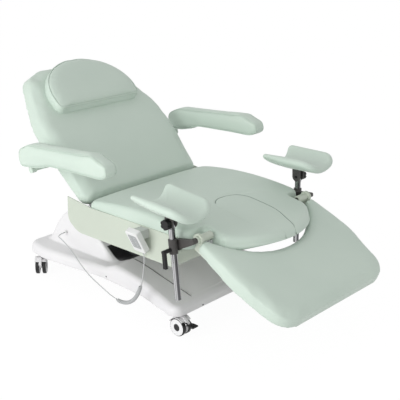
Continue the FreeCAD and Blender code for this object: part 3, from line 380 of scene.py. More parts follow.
def moulded_plastic(name, light, dark, shine=0.36):
    """Moulded and lacquered shell: faint cloudiness, orange peel, and rubbed patches in the gloss."""
    finish = Finish(name, Specular_IOR_Level=0.45, Coat_Weight=0.08, Coat_Roughness=0.25)
    finish.colour(finish.ramp(finish.noise(2.2, 4), (0.3, dark), (0.7, light)))
    finish.rough(finish.noise(14, 5), shine - 0.05, shine + 0.12)
    finish.relief((finish.noise(420), 0.00025, 0.12), (finish.noise(26, 3), 0.0008, 0.06))
    return finish


def finished(finish, *names):
    """Gives carried-over pieces their finish."""
    for name in names:
        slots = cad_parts[name].data.materials
        slots.clear()
        slots.append(finish.material)


def painted_opening_shade(finish, middle, half):
    """Turns a colour black within a rectangle of the plan: painted shade of an opening round the column, on a
    shell that is closed there.
    """
    flat = finish.stretched((1 / half[0], 1 / half[1], 0), (*middle, 0))
    distance = finish.add("VectorMath", {0: flat}, operation="ABSOLUTE").outputs["Vector"]
    axes = finish.add("SeparateXYZ", {"Vector": distance}).outputs
    edge = finish.add("Math", {0: axes["X"], 1: axes["Y"]}, operation="MAXIMUM").outputs[0]
    light = finish.add("MapRange", {"Value": edge, "From Min": 0.96, "To Min": 0.015}).outputs["Result"]
    colour = finish.shader.inputs["Base Color"].links[0].from_socket
    finish.colour(finish.add("VectorMath", {0: colour, 1: light}, operation="MULTIPLY").outputs["Vector"])


shell_white = moulded_plastic("shell_white", paint(232, 231, 232), paint(225, 224, 226))
shell_painted_shade = moulded_plastic("shell_painted_shade", paint(232, 231, 232), paint(225, 224, 226))
# Painted shade: the shell is painted black round the column, as the shade of an opening onto the works below.
painted_opening_shade(shell_painted_shade, COLUMN_SHADE_MIDDLE, COLUMN_SHADE_HALF)
shell = base_shell(shell_painted_shade)
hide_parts("base_cover", "rear_housing")
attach(shell, "base")
# The dark cords along the edges of the sunk panel are painted shade in the step.
gap_shade = moulded_plastic("gap_shade", paint(96, 95, 95), paint(84, 83, 83), 0.6)
gap_y = np.linspace(PANEL_REAR, PANEL_FRONT, GAP_STEPS)
for side, sign in (("right", -1), ("left", 1)):
    gap_x = sign * panel_half(gap_y)
    gap_line = np.column_stack([gap_x, gap_y, shell_height(gap_x, gap_y)]) * MM
    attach(welt("panel_gap_" + side, gap_line, PANEL_GAP, (0, 0, 1), gap_shade, False), "base")


# Chassis, column and works: painted steel plate and tube under the shell, the black control box, and the
# screws that hold the shell. Most of it is hidden, and shows only where the shell and side cover leave a gap.
SCREWS = [(0.290, 0.248, 0.105), (0.181, -0.240, 0.097)]
SCREW_RADIUS, SCREW_DOME, SCREW_RINGS, SCREW_SIDES = 0.0034, 0.6, 6, 16


def painted_steel(name, light, dark):
    """Powder coat: small grains in the relief and scuffed patches."""
    finish = Finish(name, Specular_IOR_Level=0.4)
    finish.colour(finish.ramp(finish.noise(9, 5), (0.35, dark), (0.65, light)))
    finish.rough(finish.noise(30, 4), 0.42, 0.6)
    finish.relief((finish.pores(900), 0.0003, 0.25))
    return finish


frame_grey = painted_steel("frame_grey", paint(206, 208, 209), paint(194, 196, 198))
column_grey = painted_steel("column_grey", paint(60, 61, 63), paint(46, 47, 49))
black_plastic = painted_steel("black_plastic", paint(17, 17, 18), paint(9, 9, 10))
finished(frame_grey, "chassis", "seat_frame", "backrest_frame")
finished(column_grey, "column_outer", "leg_actuator", "back_actuator")
finished(black_plastic, "control_box")


def points_of(mesh):
    """Points of a mesh as an array."""
    points = np.empty(len(mesh.vertices) * 3, np.float32)
    mesh.vertices.foreach_get("co", points)
    return points.reshape(-1, 3).astype(float)


def skin_of(piece):
    """Search tree over the faces of a piece."""
    faces = [tuple(face.vertices) for face in piece.data.polygons]
    return BVHTree.FromPolygons(points_of(piece.data).tolist(), faces)


def screw_heads(name, places, finish):
    """Domes on the shell's skin at the points nearest to the places, on both sides: quarter circles turned
    about the normal, flattened along it."""
    skin = skin_of(shell)
    rise, turn = np.meshgrid(np.radians(np.linspace(0, 90, SCREW_RINGS)),
                             np.linspace(0, 2 * math.pi, SCREW_SIDES, False), indexing="ij")
    dome = np.stack([np.cos(rise) * np.cos(turn), np.cos(rise) * np.sin(turn), np.sin(rise)], -1)
    dome_faces = np.array(grid_faces(SCREW_RINGS, SCREW_SIDES, round_columns=True))
    points, faces = [], []
    for x, y, z in places:
        for sign in (-1, 1):
            place, normal = skin.find_nearest(Vector((sign * x, y, z)))[:2]
            out = normal * (1 if normal.dot(Vector((sign * x, y, 0))) > 0 else -1)
            aside = out.cross(Vector((0, 0, 1))).normalized()
            axes = np.array((aside, out.cross(aside), out * SCREW_DOME))
            faces += (dome_faces + rise.size * len(points)).tolist()
            points.append(np.array(place) + SCREW_RADIUS * dome.reshape(-1, 3) @ axes)
    return mesh_piece(name, np.concatenate(points), faces, finish)


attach(screw_heads("base_screws", SCREWS, column_grey), "base")


def bright_metal(name, light, dark, shine):
    """Ground and plated steel with fine lines along its upright length."""
    finish = Finish(name, Metallic=1.0)
    lines = finish.noise(95, 2, finish.stretched((1, 1, 0)))
    finish.colour(finish.ramp(lines, (0.4, dark), (0.6, light)))
    finish.rough(lines, shine, shine + 0.12)
    finish.relief((lines, 0.0002, 0.08))
    return finish


zinc = bright_metal("zinc", paint(186, 188, 190), paint(160, 162, 165), 0.3)
finished(zinc, "column_middle", "column_inner", "hinge_pins", "leg_actuator_rod", "back_actuator_rod")


# Casters: four twin wheels with white hoods and hub faces, black treads and black axle caps.
# The front two have a black brake pedal.
WHEEL_RADIUS, TREAD_DEPTH, CAP_RADIUS = 0.0375, 0.003, 0.0150
CASTER_TURN = {"front_right": 0, "front_left": 0, "rear_right": -45, "rear_left": 45}


def wheel_finish(name, centre, turn):
    """White hub face with a black tread and axle cap, by the distance from the axle."""
    finish = Finish("wheel_" + name, Specular_IOR_Level=0.4)
    flat = finish.stretched((0, 1, 1), centre, (0, 0, math.radians(-turn)))
    distance = finish.add("VectorMath", {0: flat}, operation="LENGTH").outputs["Value"]
    share = finish.add("Math", {0: distance, 1: WHEEL_RADIUS}, operation="DIVIDE").outputs[0]
    black, white = paint(24, 24, 25), paint(232, 232, 233)
    cap, tread = CAP_RADIUS / WHEEL_RADIUS, 1 - TREAD_DEPTH / WHEEL_RADIUS
    finish.colour(finish.ramp(share, (0, black), (cap, black), (cap + 0.02, white), (tread - 0.02, white),
                              (tread, black)))
    finish.rough(finish.noise(60, 4), 0.35, 0.6)
    finish.relief((finish.noise(500), 0.0002, 0.2))
    return finish


for caster, turn in CASTER_TURN.items():
    low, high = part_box("caster_%s_wheels" % caster)
    finished(wheel_finish(caster, (low + high) / 2, turn), "caster_%s_wheels" % caster)
    finished(shell_white, "caster_%s_hood" % caster)
    if "front" in caster:
        finished(black_plastic, "caster_%s_pedal" % caster)


# Side cover: a thin moulded tray in pale mint that hides the seat frame, with the wedge for the handset.
# The socket tubes of the leg supports and the frame of the leg rest are painted to match it.
tray_mint = moulded_plastic("tray_mint", paint(198, 206, 192), paint(192, 200, 187), 0.42)
finished(tray_mint, "side_cover", "socket_tubes", "legrest_frame")


# Seat cushion: foam under a smooth mint cover, crowned, with a rounded nose and an opening for the insert.
# Seat and insert are cut from one surface, so that they lie flush where the two covers meet at the seam.
def leatherette(name, light, dark):
    """Coated upholstery cloth: pebble grain, faint creases, a soft sheen and clouded colour."""
    finish = Finish(name, Specular_IOR_Level=0.38, Sheen_Weight=0.12, Sheen_Roughness=0.45)
    finish.colour(finish.ramp(finish.noise(3.5, 5), (0.3, dark), (0.7, light)))
    finish.rough(finish.noise(22, 5), 0.44, 0.58)
    grain = finish.pores(850)
    creases = finish.noise(16, 6, distortion=1.2)
    finish.relief((grain, 0.0003, 0.16), (creases, 0.0016, 0.10))
    return finish


mint_cover = leatherette("mint_cover", paint(202, 216, 205), paint(196, 211, 200))
SEAT_HALF, SEAT_REAR, SEAT_SHOULDER, SEAT_BOTTOM = 345, 256, -314, 400
SEAT_CROWN, CROWN_RADIUS, CROWN_Y, SIDE_DROP = 499, 1700, -50, 7
NOSE_RADIUS, NOSE_TIP, NOTCH_HALF = 345, -530, 262
INSERT_OUTLINE = [(6, -575, 1), (95, -400, 180), (90, -174, 85)]
INSERT_CENTRE = np.array((0, -290))
INSERT_GAP, RIM_ROLL, SEAM_ROLL, SIDE_BULGE = 0.2, 26, 3.5, 4
TIGHT, SEAM_TURN, SEAM_FADE = 0.05, -212, 30
REAR_FADE, THINNEST = 60, 2
ROLL_ROWS, TOP_ROWS, SIDE_ROWS = 9, 44, 7
OPENING_STEP, JOIN_GAP = 3, 0.00002
NOSE_START, NOSE_REACH, NOSE_LIFT = -420, 110, 13
LIP = [(-80, -195), (-30, -172), (20, -172), (103, -190), (176, -224), (225, -259)]
LIP_DEPTH, LIP_WIDTH = 3.0, 11


def reach(line, angle):
    """Distance from the insert's middle to a closed line, at each angle."""
    arm = line - INSERT_CENTRE
    turn = np.arctan2(arm[:, 1], arm[:, 0])
    order = np.argsort(turn)
    return np.interp(angle, turn[order], np.linalg.norm(arm, axis=1)[order], period=2 * math.pi)


def seat_outline():
    """Plan of the seat: straight sides, notches for the hinge tubes, and a round nose."""
    nose_y = NOSE_TIP + NOSE_RADIUS
    notch_y = nose_y - math.sqrt(NOSE_RADIUS ** 2 - NOTCH_HALF ** 2)
    line = rounded(mirrored([
        (NOTCH_HALF, notch_y, 10), (NOTCH_HALF, SEAT_SHOULDER, 14), (SEAT_HALF, SEAT_SHOULDER, 42),
        (SEAT_HALF, SEAT_REAR, 34),
    ]), 2)
    ahead = line[:, 1] < notch_y + 0.5
    line[ahead, 1] = nose_y - np.sqrt(NOSE_RADIUS ** 2 - line[ahead, 0] ** 2)
    return even(line, 5, True)


def nose_rise(y):
    """Upturn of the cushion towards the tip of its nose."""
    return NOSE_LIFT * smooth_step((NOSE_START - y) / NOSE_REACH)


def seat_top(x, y, puff=0):
    """Crown of the seat: an arc from back to front, a drop to the sides by the cube of x, an upturned nose
    and a soft crease."""
    top = SEAT_CROWN - CROWN_RADIUS + np.sqrt(CROWN_RADIUS ** 2 - (y - CROWN_Y) ** 2)
    top = top - SIDE_DROP * (np.abs(x) / SEAT_HALF) ** 3 + puff + nose_rise(y)
    lip = even(LIP, 4)
    gap = np.sqrt((x[..., None] - lip[:, 0]) ** 2 + (y[..., None] - lip[:, 1]) ** 2)
    nearest = gap.argmin(-1)
    fade = np.sin(math.pi * np.clip(nearest / (len(lip) - 1), 0, 1)) ** 0.7
    return top - LIP_DEPTH * fade * np.exp(-(gap.min(-1) / LIP_WIDTH) ** 2)


def edge_drop(distance, roll):
    """How far a round edge lies below the top at a distance d below r: r - sqrt(r^2 - (r - d)^2)."""
    short = np.clip(1 - distance / roll, 0, 1)
    return roll * (1 - np.sqrt(1 - short * short))


def seat_section(ways, inner, outer, opening, rim, puff, bulge):
    """Section from the inner to the outer edge at each way out of the middle, then down the side. The top
    falls off by its distance from the seat's rim and from the opening, so both pieces lie in one surface."""
    turn = np.radians(np.linspace(0, 90, ROLL_ROWS))[:, None]
    shares = np.linspace(0, 1, TOP_ROWS)[1:-1, None]
    width = outer - inner
    near, far = np.minimum(SEAM_ROLL, 0.2 * width), np.minimum(RIM_ROLL, 0.5 * width)
    radius = np.concatenate([inner + near * (1 - np.cos(turn)), inner + near + (width - near - far) * shares,
                             outer - far * (1 - np.cos(turn[::-1]))])
    flat = INSERT_CENTRE + ways[None] * radius[..., None]
    height = seat_top(flat[..., 0], flat[..., 1], puff * (1 - (radius / outer) ** 2))
    open_seam = np.maximum(smooth_step(flat[..., 0] / SEAM_FADE),
                           smooth_step((flat[..., 1] - SEAM_TURN) / SEAM_FADE))
    seam = edge_drop(np.abs(radius - opening), SEAM_ROLL) * (TIGHT + (1 - TIGHT) * open_seam)
    height = height - edge_drop(rim - radius, RIM_ROLL) - seam
    level = np.linspace(1, 0, SIDE_ROWS)[1:, None]
    foot = SEAT_BOTTOM + nose_rise(INSERT_CENTRE[1] + ways[:, 1] * rim)
    low = foot + (height[-1] - foot) * level
    side = INSERT_CENTRE + ways[None] * (outer + bulge * SIDE_BULGE * np.sin(math.pi * level))[..., None]
    return np.concatenate([np.concatenate([flat, side]), np.concatenate([height, low])[..., None]], -1)


def closed_piece(name, grid, finish, round_rows=False, round_columns=False):
    """Grid of millimetres made a piece with its poles and touching edges joined."""
    piece = mesh_piece(name, grid * MM, grid_faces(*grid.shape[:2], round_rows, round_columns), finish)
    shape = bmesh.new()
    shape.from_mesh(piece.data)
    bmesh.ops.remove_doubles(shape, verts=shape.verts, dist=JOIN_GAP)
    bmesh.ops.recalc_face_normals(shape, faces=shape.faces)
    shape.to_mesh(piece.data)
    shape.free()
    return piece


def horseshoe_seat(finish):
    """Cushion round the opening: the section follows the outline from one tip of the nose to the other."""
    line = seat_outline()
    arm = line - INSERT_CENTRE
    angle = np.mod(np.arctan2(arm[:, 1], arm[:, 0]) + math.pi / 2, 2 * math.pi)
    order = np.argsort(angle)
    angle, outer = angle[order], np.linalg.norm(arm, axis=1)[order]
    inner = reach(rounded(mirrored(INSERT_OUTLINE), OPENING_STEP), angle - math.pi / 2) + INSERT_GAP
    kept = outer - inner > THINNEST
    angle, outer, inner = angle[kept] - math.pi / 2, outer[kept], inner[kept]
    ways = np.stack([np.cos(angle), np.sin(angle)], 1)
    bulge = smooth_step((SEAT_REAR - INSERT_CENTRE[1] - ways[:, 1] * outer) / REAR_FADE)
    grid = seat_section(ways, inner, outer, inner, outer, 0, bulge)
    foot = np.column_stack([grid[0, :, :2], SEAT_BOTTOM + nose_rise(grid[0, :, 1])])
    grid = np.concatenate([foot[None], grid])
    tips = [np.broadcast_to(grid[:, [i]].mean(0, keepdims=True), grid[:, [i]].shape) for i in (0, -1)]
    return closed_piece("seat_cover", np.concatenate([tips[0], grid, tips[1]], 1), finish, round_rows=True)


seat = horseshoe_seat(mint_cover)
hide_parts("seat_cushion")
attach(seat, "seat")


# Seat insert: the lift-out filler of the opening, an oval foam pad in its own mint cover.
# A thin piping lies in the seam where it stands open, painted darker as the seam's shade, and its front is
# part of the seat's nose.
INSERT_PUFF, INSERT_WAYS, FRONT_FADE = 4, 400, 10
INSERT_WELT, WELT_STEP, WELT_ROW = 0.0014, 0.005, -9


def insert_pad(finish):
    """Pad inside the opening: the section turns about its middle, and its front edge is the seat's nose."""
    angle = np.linspace(0, 2 * math.pi, INSERT_WAYS, endpoint=False)
    opening = reach(rounded(mirrored(INSERT_OUTLINE), OPENING_STEP), angle) - INSERT_GAP
    nose = reach(seat_outline(), angle)
    outer = np.minimum(opening, nose)
    ahead = smooth_step((opening - nose) / FRONT_FADE)
    ways = np.stack([np.cos(angle), np.sin(angle)], 1)
    grid = seat_section(ways, np.zeros(INSERT_WAYS), outer, opening, nose, INSERT_PUFF, ahead)
    middle = np.broadcast_to((*INSERT_CENTRE, SEAT_BOTTOM), (INSERT_WAYS, 3))
    pad = closed_piece("insert_cover", np.concatenate([middle[None], grid]), finish, True, True)
    return pad, grid[WELT_ROW][opening < nose - THINNEST]


insert, insert_rim = insert_pad(mint_cover)
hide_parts("seat_insert")
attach(insert, "seat_insert")
front_gap = np.linalg.norm(np.diff(insert_rim, axis=0), axis=1).argmax() + 1
insert_seam = even(np.roll(insert_rim, -front_gap, 0) * MM, WELT_STEP)
insert_seam = insert_seam[(insert_seam[:, 0] > 0) | (insert_seam[:, 1] > SEAM_TURN * MM)]
# The piping is painted darker than the cover: painted shade in the open seam.
piping_painted_shade = leatherette("piping_painted_shade", paint(122, 138, 129), paint(112, 128, 119))
insert_welt = welt("insert_welt", insert_seam, INSERT_WELT, (0, 0, 1), piping_painted_shade, False)
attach(insert_welt, "seat_insert")


# Leg rest: a long flat pad with a hollow edge round the nose of the seat and rounded foot corners.
# Foam on a board in a sewn mint cover: a block drawn in a little, whose skin then swells under pressure.
LEG_HINGE, LEG_TILT = (0, -354, 453), 28
SEWN_FRAMES, PRESSURE = 20, 4.0
REST_FACING, BLOCK_JOIN, BLOCK_PASSES, SKIN_PASSES = 0.75, 0.00005, 4, 14


def normals_of(mesh):
    """Normals at the points of a mesh as an array."""
    normals = np.empty(len(mesh.vertices) * 3, np.float32)
    mesh.vertex_normals.foreach_get("vector", normals)
    return normals.reshape(-1, 3).astype(float)


def set_points(mesh, points):
    """Puts an array of points into a mesh."""
    mesh.vertices.foreach_set("co", np.asarray(points, np.float32).ravel())
    mesh.update()


def applied(piece):
    """Puts what the modifiers make of a piece into its mesh and drops them."""
    graph = bpy.context.evaluated_depsgraph_get()
    made = bpy.data.meshes.new_from_object(piece.evaluated_get(graph))
    piece.modifiers.clear()
    piece.data = made
    return piece


def blown_up(piece, resting):
    """Skin of a piece under pressure as cloth, with the resting points held."""
    group = piece.vertex_groups.new(name="resting")
    group.add(np.flatnonzero(resting).tolist(), 1.0, "REPLACE")
    cloth = piece.modifiers.new("skin", "CLOTH")
    cloth.settings.quality = 4
    cloth.settings.mass = 0.35
    cloth.settings.tension_stiffness = 18
    cloth.settings.compression_stiffness = 18
    cloth.settings.bending_stiffness = 2
    cloth.settings.use_pressure = True
    cloth.settings.uniform_pressure_force = PRESSURE
    cloth.settings.vertex_group_mass = "resting"
    cloth.settings.effector_weights.gravity = 0
    cloth.point_cache.frame_start = 1
    cloth.point_cache.frame_end = SEWN_FRAMES
    for step in range(1, SEWN_FRAMES + 1):
        scene.frame_set(step)
    graph = bpy.context.evaluated_depsgraph_get()
    skin = points_of(piece.evaluated_get(graph).data)
    piece.modifiers.clear()
    piece.vertex_groups.clear()
    scene.frame_set(1)
    return skin


def evened(piece, field, passes):
    """Vectors on the points of a piece, each drawn towards the mean of its neighbours again and again."""
    helper = placed("field", piece.data.copy())
    set_points(helper.data, field)
    ease = helper.modifiers.new("ease", "SMOOTH")
    ease.factor = 0.5
    ease.iterations = passes
    values = points_of(applied(helper).data)
    bpy.data.objects.remove(helper)
    return values


def stuffed(name, node, rests, finish, voxel, drawn_in, swell, fuller=()):
    """Foam block in a sewn cover. The block is drawn in along its normals, then its skin swells under
    pressure by no more than the swell: s tanh(lift / s). The side that faces the way of rests lies on its
    board, and fuller gives ways in which the foam stands proud and by how much."""
    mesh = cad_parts[node].data.copy()
    piece = placed(name, mesh)
    shape = bmesh.new()
    shape.from_mesh(mesh)
    bmesh.ops.remove_doubles(shape, verts=shape.verts, dist=BLOCK_JOIN)
    shape.to_mesh(mesh)
    shape.free()
    remesh = piece.modifiers.new("remesh", "REMESH")
    remesh.mode = "VOXEL"
    remesh.voxel_size = voxel
    applied(piece)
    ease = piece.modifiers.new("ease", "SMOOTH")
    ease.factor = 0.5
    ease.iterations = BLOCK_PASSES
    mesh = applied(piece).data
    points, normals = points_of(mesh), normals_of(mesh)
    resting = (normals * np.asarray(rests, float)).sum(1) > REST_FACING
    free = (~resting)[:, None]
    for direction, amount in fuller:
        points = points + normals * (amount * np.clip(normals @ np.asarray(direction), 0, 1) ** 2)[:, None]
    start = points - normals * drawn_in * free
    set_points(mesh, start)
    skin = start + normals * swell * free
    skin = blown_up(piece, resting)
    lift = ((skin - start) * normals).sum(1)
    lift = swell * np.tanh(lift / swell)
    move = evened(piece, normals * lift[:, None] * free, SKIN_PASSES)
    set_points(mesh, start + move)
    finer = piece.modifiers.new("finer", "SUBSURF")
    finer.levels = 1
    finer.render_levels = 1
    dressed(applied(piece).data, finish)
    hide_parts(node)
    return piece


def tipped(place, angle):
    """Frame of a piece drawn flat, turned about X and moved to its place, in millimetres."""
    return Matrix.Translation(Vector(place) * MM) @ Matrix.Rotation(math.radians(angle), 4, "X")


def turned(matrix, points):
    """Points in millimetres of a piece's own frame, as points of the table in metres."""
    points = np.asarray(points, float) * MM
    return points @ np.array(matrix.to_3x3()).T + np.array(matrix.translation)


leg_frame = tipped(LEG_HINGE, LEG_TILT)
leg_down = -np.array(leg_frame.to_3x3().col[2])
leg_rise = np.array(leg_frame.to_3x3().col[1])
leg_pad = stuffed("legrest_cover", "legrest_cushion", leg_down, mint_cover, voxel=0.0075, drawn_in=0.001,
                  swell=0.008, fuller=[(leg_rise, 0.008)])
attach(leg_pad, "legrest")


# Backrest: a broad foam cushion on its board in one smooth mint skin, its upper third leaning back.
# Its foot is fuller, so that it meets the seat in a soft crease.
BACK_FOOT, BACK_TILT, BACK_LENGTH = (0, 266, 459), 50, 690
back_frame = tipped(BACK_FOOT, BACK_TILT)
back_down = -np.array(back_frame.to_3x3().col[2])
back_foot = -np.array(back_frame.to_3x3().col[1])
back_pad = stuffed("backrest_cover", "backrest_cushion", back_down, mint_cover, voxel=0.008, drawn_in=-0.001,
                   swell=0.009, fuller=[(back_foot, 0.009)])
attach(back_pad, "backrest")


# Pillow: a D-shaped foam headrest with a flat face and a side band, joined by a piped seam.
# It lies on the part of the backrest that leans back, and its cover is the backrest's.
PILLOW_OUTLINE = [(234, 420, 30), (234, 566, 203), (97, 686, 243)]
PILLOW_THICK, PILLOW_GAP, PILLOW_STEP = 58, 0.4, 5
SEAM_BELOW_FACE, PILLOW_WELT = 10.0, 0.0024
LEAN_START, LEAN_DROP = 230, 95
LEAN_ANGLE = math.atan2(LEAN_DROP, BACK_LENGTH - LEAN_START)


def on_skin(piece, line, passes):
    """Points of a closed line brought to the nearest points of a cushion's skin, then eased along it."""
    skin = skin_of(piece)
    line = np.array([skin.find_nearest(Vector(point))[0] for point in line])
    for _ in range(passes):
        line = (np.roll(line, 1, 0) + 2 * line + np.roll(line, -1, 0)) / 4
    return line


def sewn(piece, line, depth, width):
    """Draws the skin in along a line by depth exp(-(d / width)^2) at a distance d from it."""
    mesh = piece.data
    points, normals = points_of(mesh), normals_of(mesh)
    nearest = np.full(len(points), np.inf)
    for part in np.array_split(line, max(len(line) // 24, 1)):
        gaps = ((points[:, None, :] - part[None, :, :]) ** 2).sum(2)
        nearest = np.minimum(nearest, gaps.min(1))
    set_points(mesh, points - normals * (depth * np.exp(-nearest / (width * width)))[:, None])


lean_from = Matrix.Translation(Vector((0, -LEAN_START, 0)) * MM)
lean_to = Matrix.Translation(Vector((0, LEAN_START, PILLOW_GAP)) * MM)
pillow_frame = back_frame @ lean_to @ Matrix.Rotation(-LEAN_ANGLE, 4, "X") @ lean_from
pillow_down = -np.array(pillow_frame.to_3x3().col[2])
pillow = stuffed("pillow_cover", "pillow", pillow_down, mint_cover, voxel=0.005, drawn_in=0.002, swell=0.010)
pillow_rim = rounded(mirrored(PILLOW_OUTLINE), PILLOW_STEP)
seam_level = np.full(len(pillow_rim), PILLOW_THICK - SEAM_BELOW_FACE)
pillow_seam = on_skin(pillow, turned(pillow_frame, np.column_stack([pillow_rim, seam_level])), passes=4)
sewn(pillow, pillow_seam, depth=0.003, width=0.007)
pillow_welt = welt("pillow_welt", pillow_seam, PILLOW_WELT, -pillow_down, mint_cover)
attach(pillow, "backrest")
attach(pillow_welt, "backrest")


# Armrests: long curved foam pads, soft all round, each on a bracket at the side of the backrest.
# A piped seam runs along both sides, where the side panels of the cover meet the strip between them.
DOWN = (0, 0, -1)
ARM_INNER, ARM_OUTER, ARM_STEP = 406, 476, 6
ARM_SEAM_INSET, ARM_WELT = 3, 0.0015
ARM_OUTLINE = [
    (536, 588, 24), (445, 598, 60), (330, 624, 120), (150, 631, 200), (20, 633, 60), (-22, 655, 18),
    (-10, 696, 22), (70, 727, 90), (470, 699, 120), (544, 660, 40),
]
arm_line = rounded(ARM_OUTLINE, ARM_STEP)
for side, sign in (("right", -1), ("left", 1)):
    arm = stuffed(side + "_armrest_cover", side + "_armrest_pad", DOWN, mint_cover, voxel=0.005,
                  drawn_in=0.004, swell=0.010)
    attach(arm, side + "_armrest")
    finished(mint_cover, side + "_armrest_bracket")
    for place, x in (("outer", ARM_OUTER - ARM_SEAM_INSET), ("inner", ARM_INNER + ARM_SEAM_INSET)):
        seam = np.column_stack([np.full(len(arm_line), sign * x), arm_line]) * MM
        seam = on_skin(arm, seam, passes=4)
        sewn(arm, seam, depth=0.0022, width=0.006)
        edge = welt("%s_armrest_%s_seam" % (side, place), seam, ARM_WELT, (1, 0, 0), mint_cover)
        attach(edge, side + "_armrest")


# Leg supports: chromed post in a dark clamp sleeve, black clamp lever and star knob, and a padded trough.
# The trough's cover wraps its shell, so only the two cheeks at the pivot show below it.
casting_grey = painted_steel("casting_grey", paint(78, 75, 73), paint(62, 60, 59))
TROUGHS = {"right": (-1, -6, 9, 8), "left": (1, 0, -2, 0)}
POST_X, POST_Y, PIVOT_Z, TROUGH_DROP = 384, -272, 512, 175
TROUGH_RADIUS, TROUGH_THICK, TROUGH_PUFF = 123.5, 32, 3
TROUGH_OUTLINE = [(106, -134, 62), (116, 124, 18), (40, 100, 110)]
TROUGH_SPINE, TROUGH_STEP, FACE_ROWS, EDGE_ROWS = (-60, 25), 5, 18, 17
WING_TAPER, WING_REACH = 0.45, 110
# The turn and the stops of the light and dark bands painted on the posts as reflections.
REFLECTION_BAND_TURN = math.radians(135)
PAINTED_REFLECTION_BANDS = [
    (0, 120), (0.1, 200), (0.2, 110), (0.33, 92), (0.36, 214), (0.40, 206), (0.417, 118), (0.446, 196),
    (0.484, 188), (0.52, 96), (0.645, 90), (0.68, 184), (0.78, 104), (0.9, 206), (1, 120),
]


def trough_pad(name, place, finish):
    """Pad drawn flat with a round rim, x along the bend, then bent about the trough's axis: the angle is x
    over the mean radius."""
    rim = rounded(mirrored(TROUGH_OUTLINE), TROUGH_STEP)
    way = np.roll(rim, -1, 0) - np.roll(rim, 1, 0)
    inward = np.stack([-way[:, 1], way[:, 0]], 1) / np.linalg.norm(way, axis=1)[:, None]
    spine = np.stack([np.zeros(len(rim)), np.clip(rim[:, 1], *TROUGH_SPINE)], 1)
    half = TROUGH_THICK / 2 * (1 - WING_TAPER * smooth_step(rim[:, 1] / WING_REACH))
    level = rim + inward * half[:, None]
    rows = []
    for share in np.linspace(1, 0, FACE_ROWS)[:-1]:
        full = half + (TROUGH_THICK / 2 - half) * share
        rows.append((level + (spine - level) * share, -full - TROUGH_PUFF * (1 - (1 - share) ** 2)))
    for turn in np.radians(np.linspace(-90, 90, EDGE_ROWS)):
        rows.append((rim + inward * half[:, None] * (1 - math.cos(turn)), half * math.sin(turn)))
    for share in np.linspace(0, 1, FACE_ROWS)[1:]:
        rows.append((level + (spine - level) * share, half + (TROUGH_THICK / 2 - half) * share))
    grid = []
    for plan, offset in rows:
        angle, radius = plan[:, 0] / TROUGH_RADIUS, TROUGH_RADIUS + offset
        grid.append(np.column_stack([radius * np.sin(angle), plan[:, 1], -radius * np.cos(angle)]))
    grid = turned(place, np.stack(grid).reshape(-1, 3)).reshape(len(grid), len(rim), 3)
    return closed_piece(name, grid / MM, finish, round_columns=True)


def chrome(name, foot, lean):
    """Chromed tube whose colour is painted reflections: light and dark bands by the angle about an axis
    through its foot that leans about X.
    """
    finish = Finish(name, Metallic=1.0)
    upright = finish.stretched(centre=foot, turn=(math.radians(-lean), 0, 0))
    facing = finish.add("Mapping", {"Vector": upright, "Rotation": (0, 0, REFLECTION_BAND_TURN)}).outputs["Vector"]
    angle = finish.add("TexGradient", {"Vector": facing}, gradient_type="RADIAL").outputs["Fac"]
    painted_reflections = [(place, paint(level, level, level + 2)) for place, level in PAINTED_REFLECTION_BANDS]
    finish.colour(finish.ramp(angle, *painted_reflections))
    finish.rough(finish.noise(300, 3), 0.1, 0.2)
    return finish


for side, (sign, swing, tilt, raised) in TROUGHS.items():
    swung = tipped(LEG_HINGE, swing) @ Matrix.Translation(Vector(LEG_HINGE) * -MM)
    lifted = swung @ Matrix.Translation(Vector((0, 0, raised)) * MM)
    foot = lifted @ Vector((sign * POST_X * MM, POST_Y * MM, 0))
    # The post's colour is painted reflections, in light and dark bands.
    finished(chrome(side + "_chrome", foot, swing), side + "_post")
    finished(casting_grey, side + "_support_bracket", side + "_trough_shell")
    finished(black_plastic, side + "_clamp_lever", side + "_star_knob")
    pivot = Vector((sign * POST_X, POST_Y, PIVOT_Z)) * MM
    tilted = lifted @ Matrix.Translation(pivot) @ Matrix.Rotation(math.radians(tilt), 4, "X")
    trough_frame = tilted @ Matrix.Translation(Vector((0, 0, TROUGH_DROP)) * MM)
    pad = trough_pad(side + "_trough_cover", trough_frame, mint_cover)
    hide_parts(side + "_trough_pad")
    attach(pad, side + "_support_trough")


# Handset: a light grey moulded case with a darker keypad and six keys, each with an arrow on it.
# It hangs by a holder on the wedge of the side cover, and its cord leaves from its foot.
HANDSET_FACE, HANDSET_LEAN = (-405, -91, 392), 152.6
KEYPAD_OUTLINE, KEYPAD_STEP = [(23, -39, 7), (23, 30, 7)], 3
KEYPAD_SUNK, KEYPAD_THICK = 0.5, 0.35
KEYS = [(y, z) for z in (-25, -5, 15) for y in (-12, 12)]
KEY_TOP, ARROW, ARROW_FOOT, ARROW_THICK = 1.95, 3.2, 0.6, 0.4
handset_turn = Matrix.Rotation(math.radians(HANDSET_LEAN), 4, "Y")
handset_frame = Matrix.Translation(Vector(HANDSET_FACE) * MM) @ handset_turn
handset_grey = moulded_plastic("handset_grey", paint(226, 227, 226), paint(218, 219, 218), 0.4)
key_grey = moulded_plastic("key_grey", paint(190, 192, 192), paint(182, 184, 184), 0.5)
holder_grey = moulded_plastic("holder_grey", paint(190, 194, 190), paint(180, 184, 180), 0.45)
finished(handset_grey, "handset_body", "cord_grommet")
finished(holder_grey, "handset_holder")


def sheet(name, outline, low, high, finish):
    """Thin sheet on the handset's face with an outline given across and down the face."""
    levels = [np.column_stack([np.full(len(outline), x), outline]) for x in (low, high)]
    count = len(outline)
    faces = [[i, (i + 1) % count, count + (i + 1) % count, count + i] for i in range(count)]
    piece = mesh_piece(name, turned(handset_frame, np.concatenate(levels)),
                       faces + [list(range(count))[::-1], list(range(count, 2 * count))], finish)
    piece.data.polygons.foreach_set("use_smooth", np.zeros(count + 2, bool))
    return piece


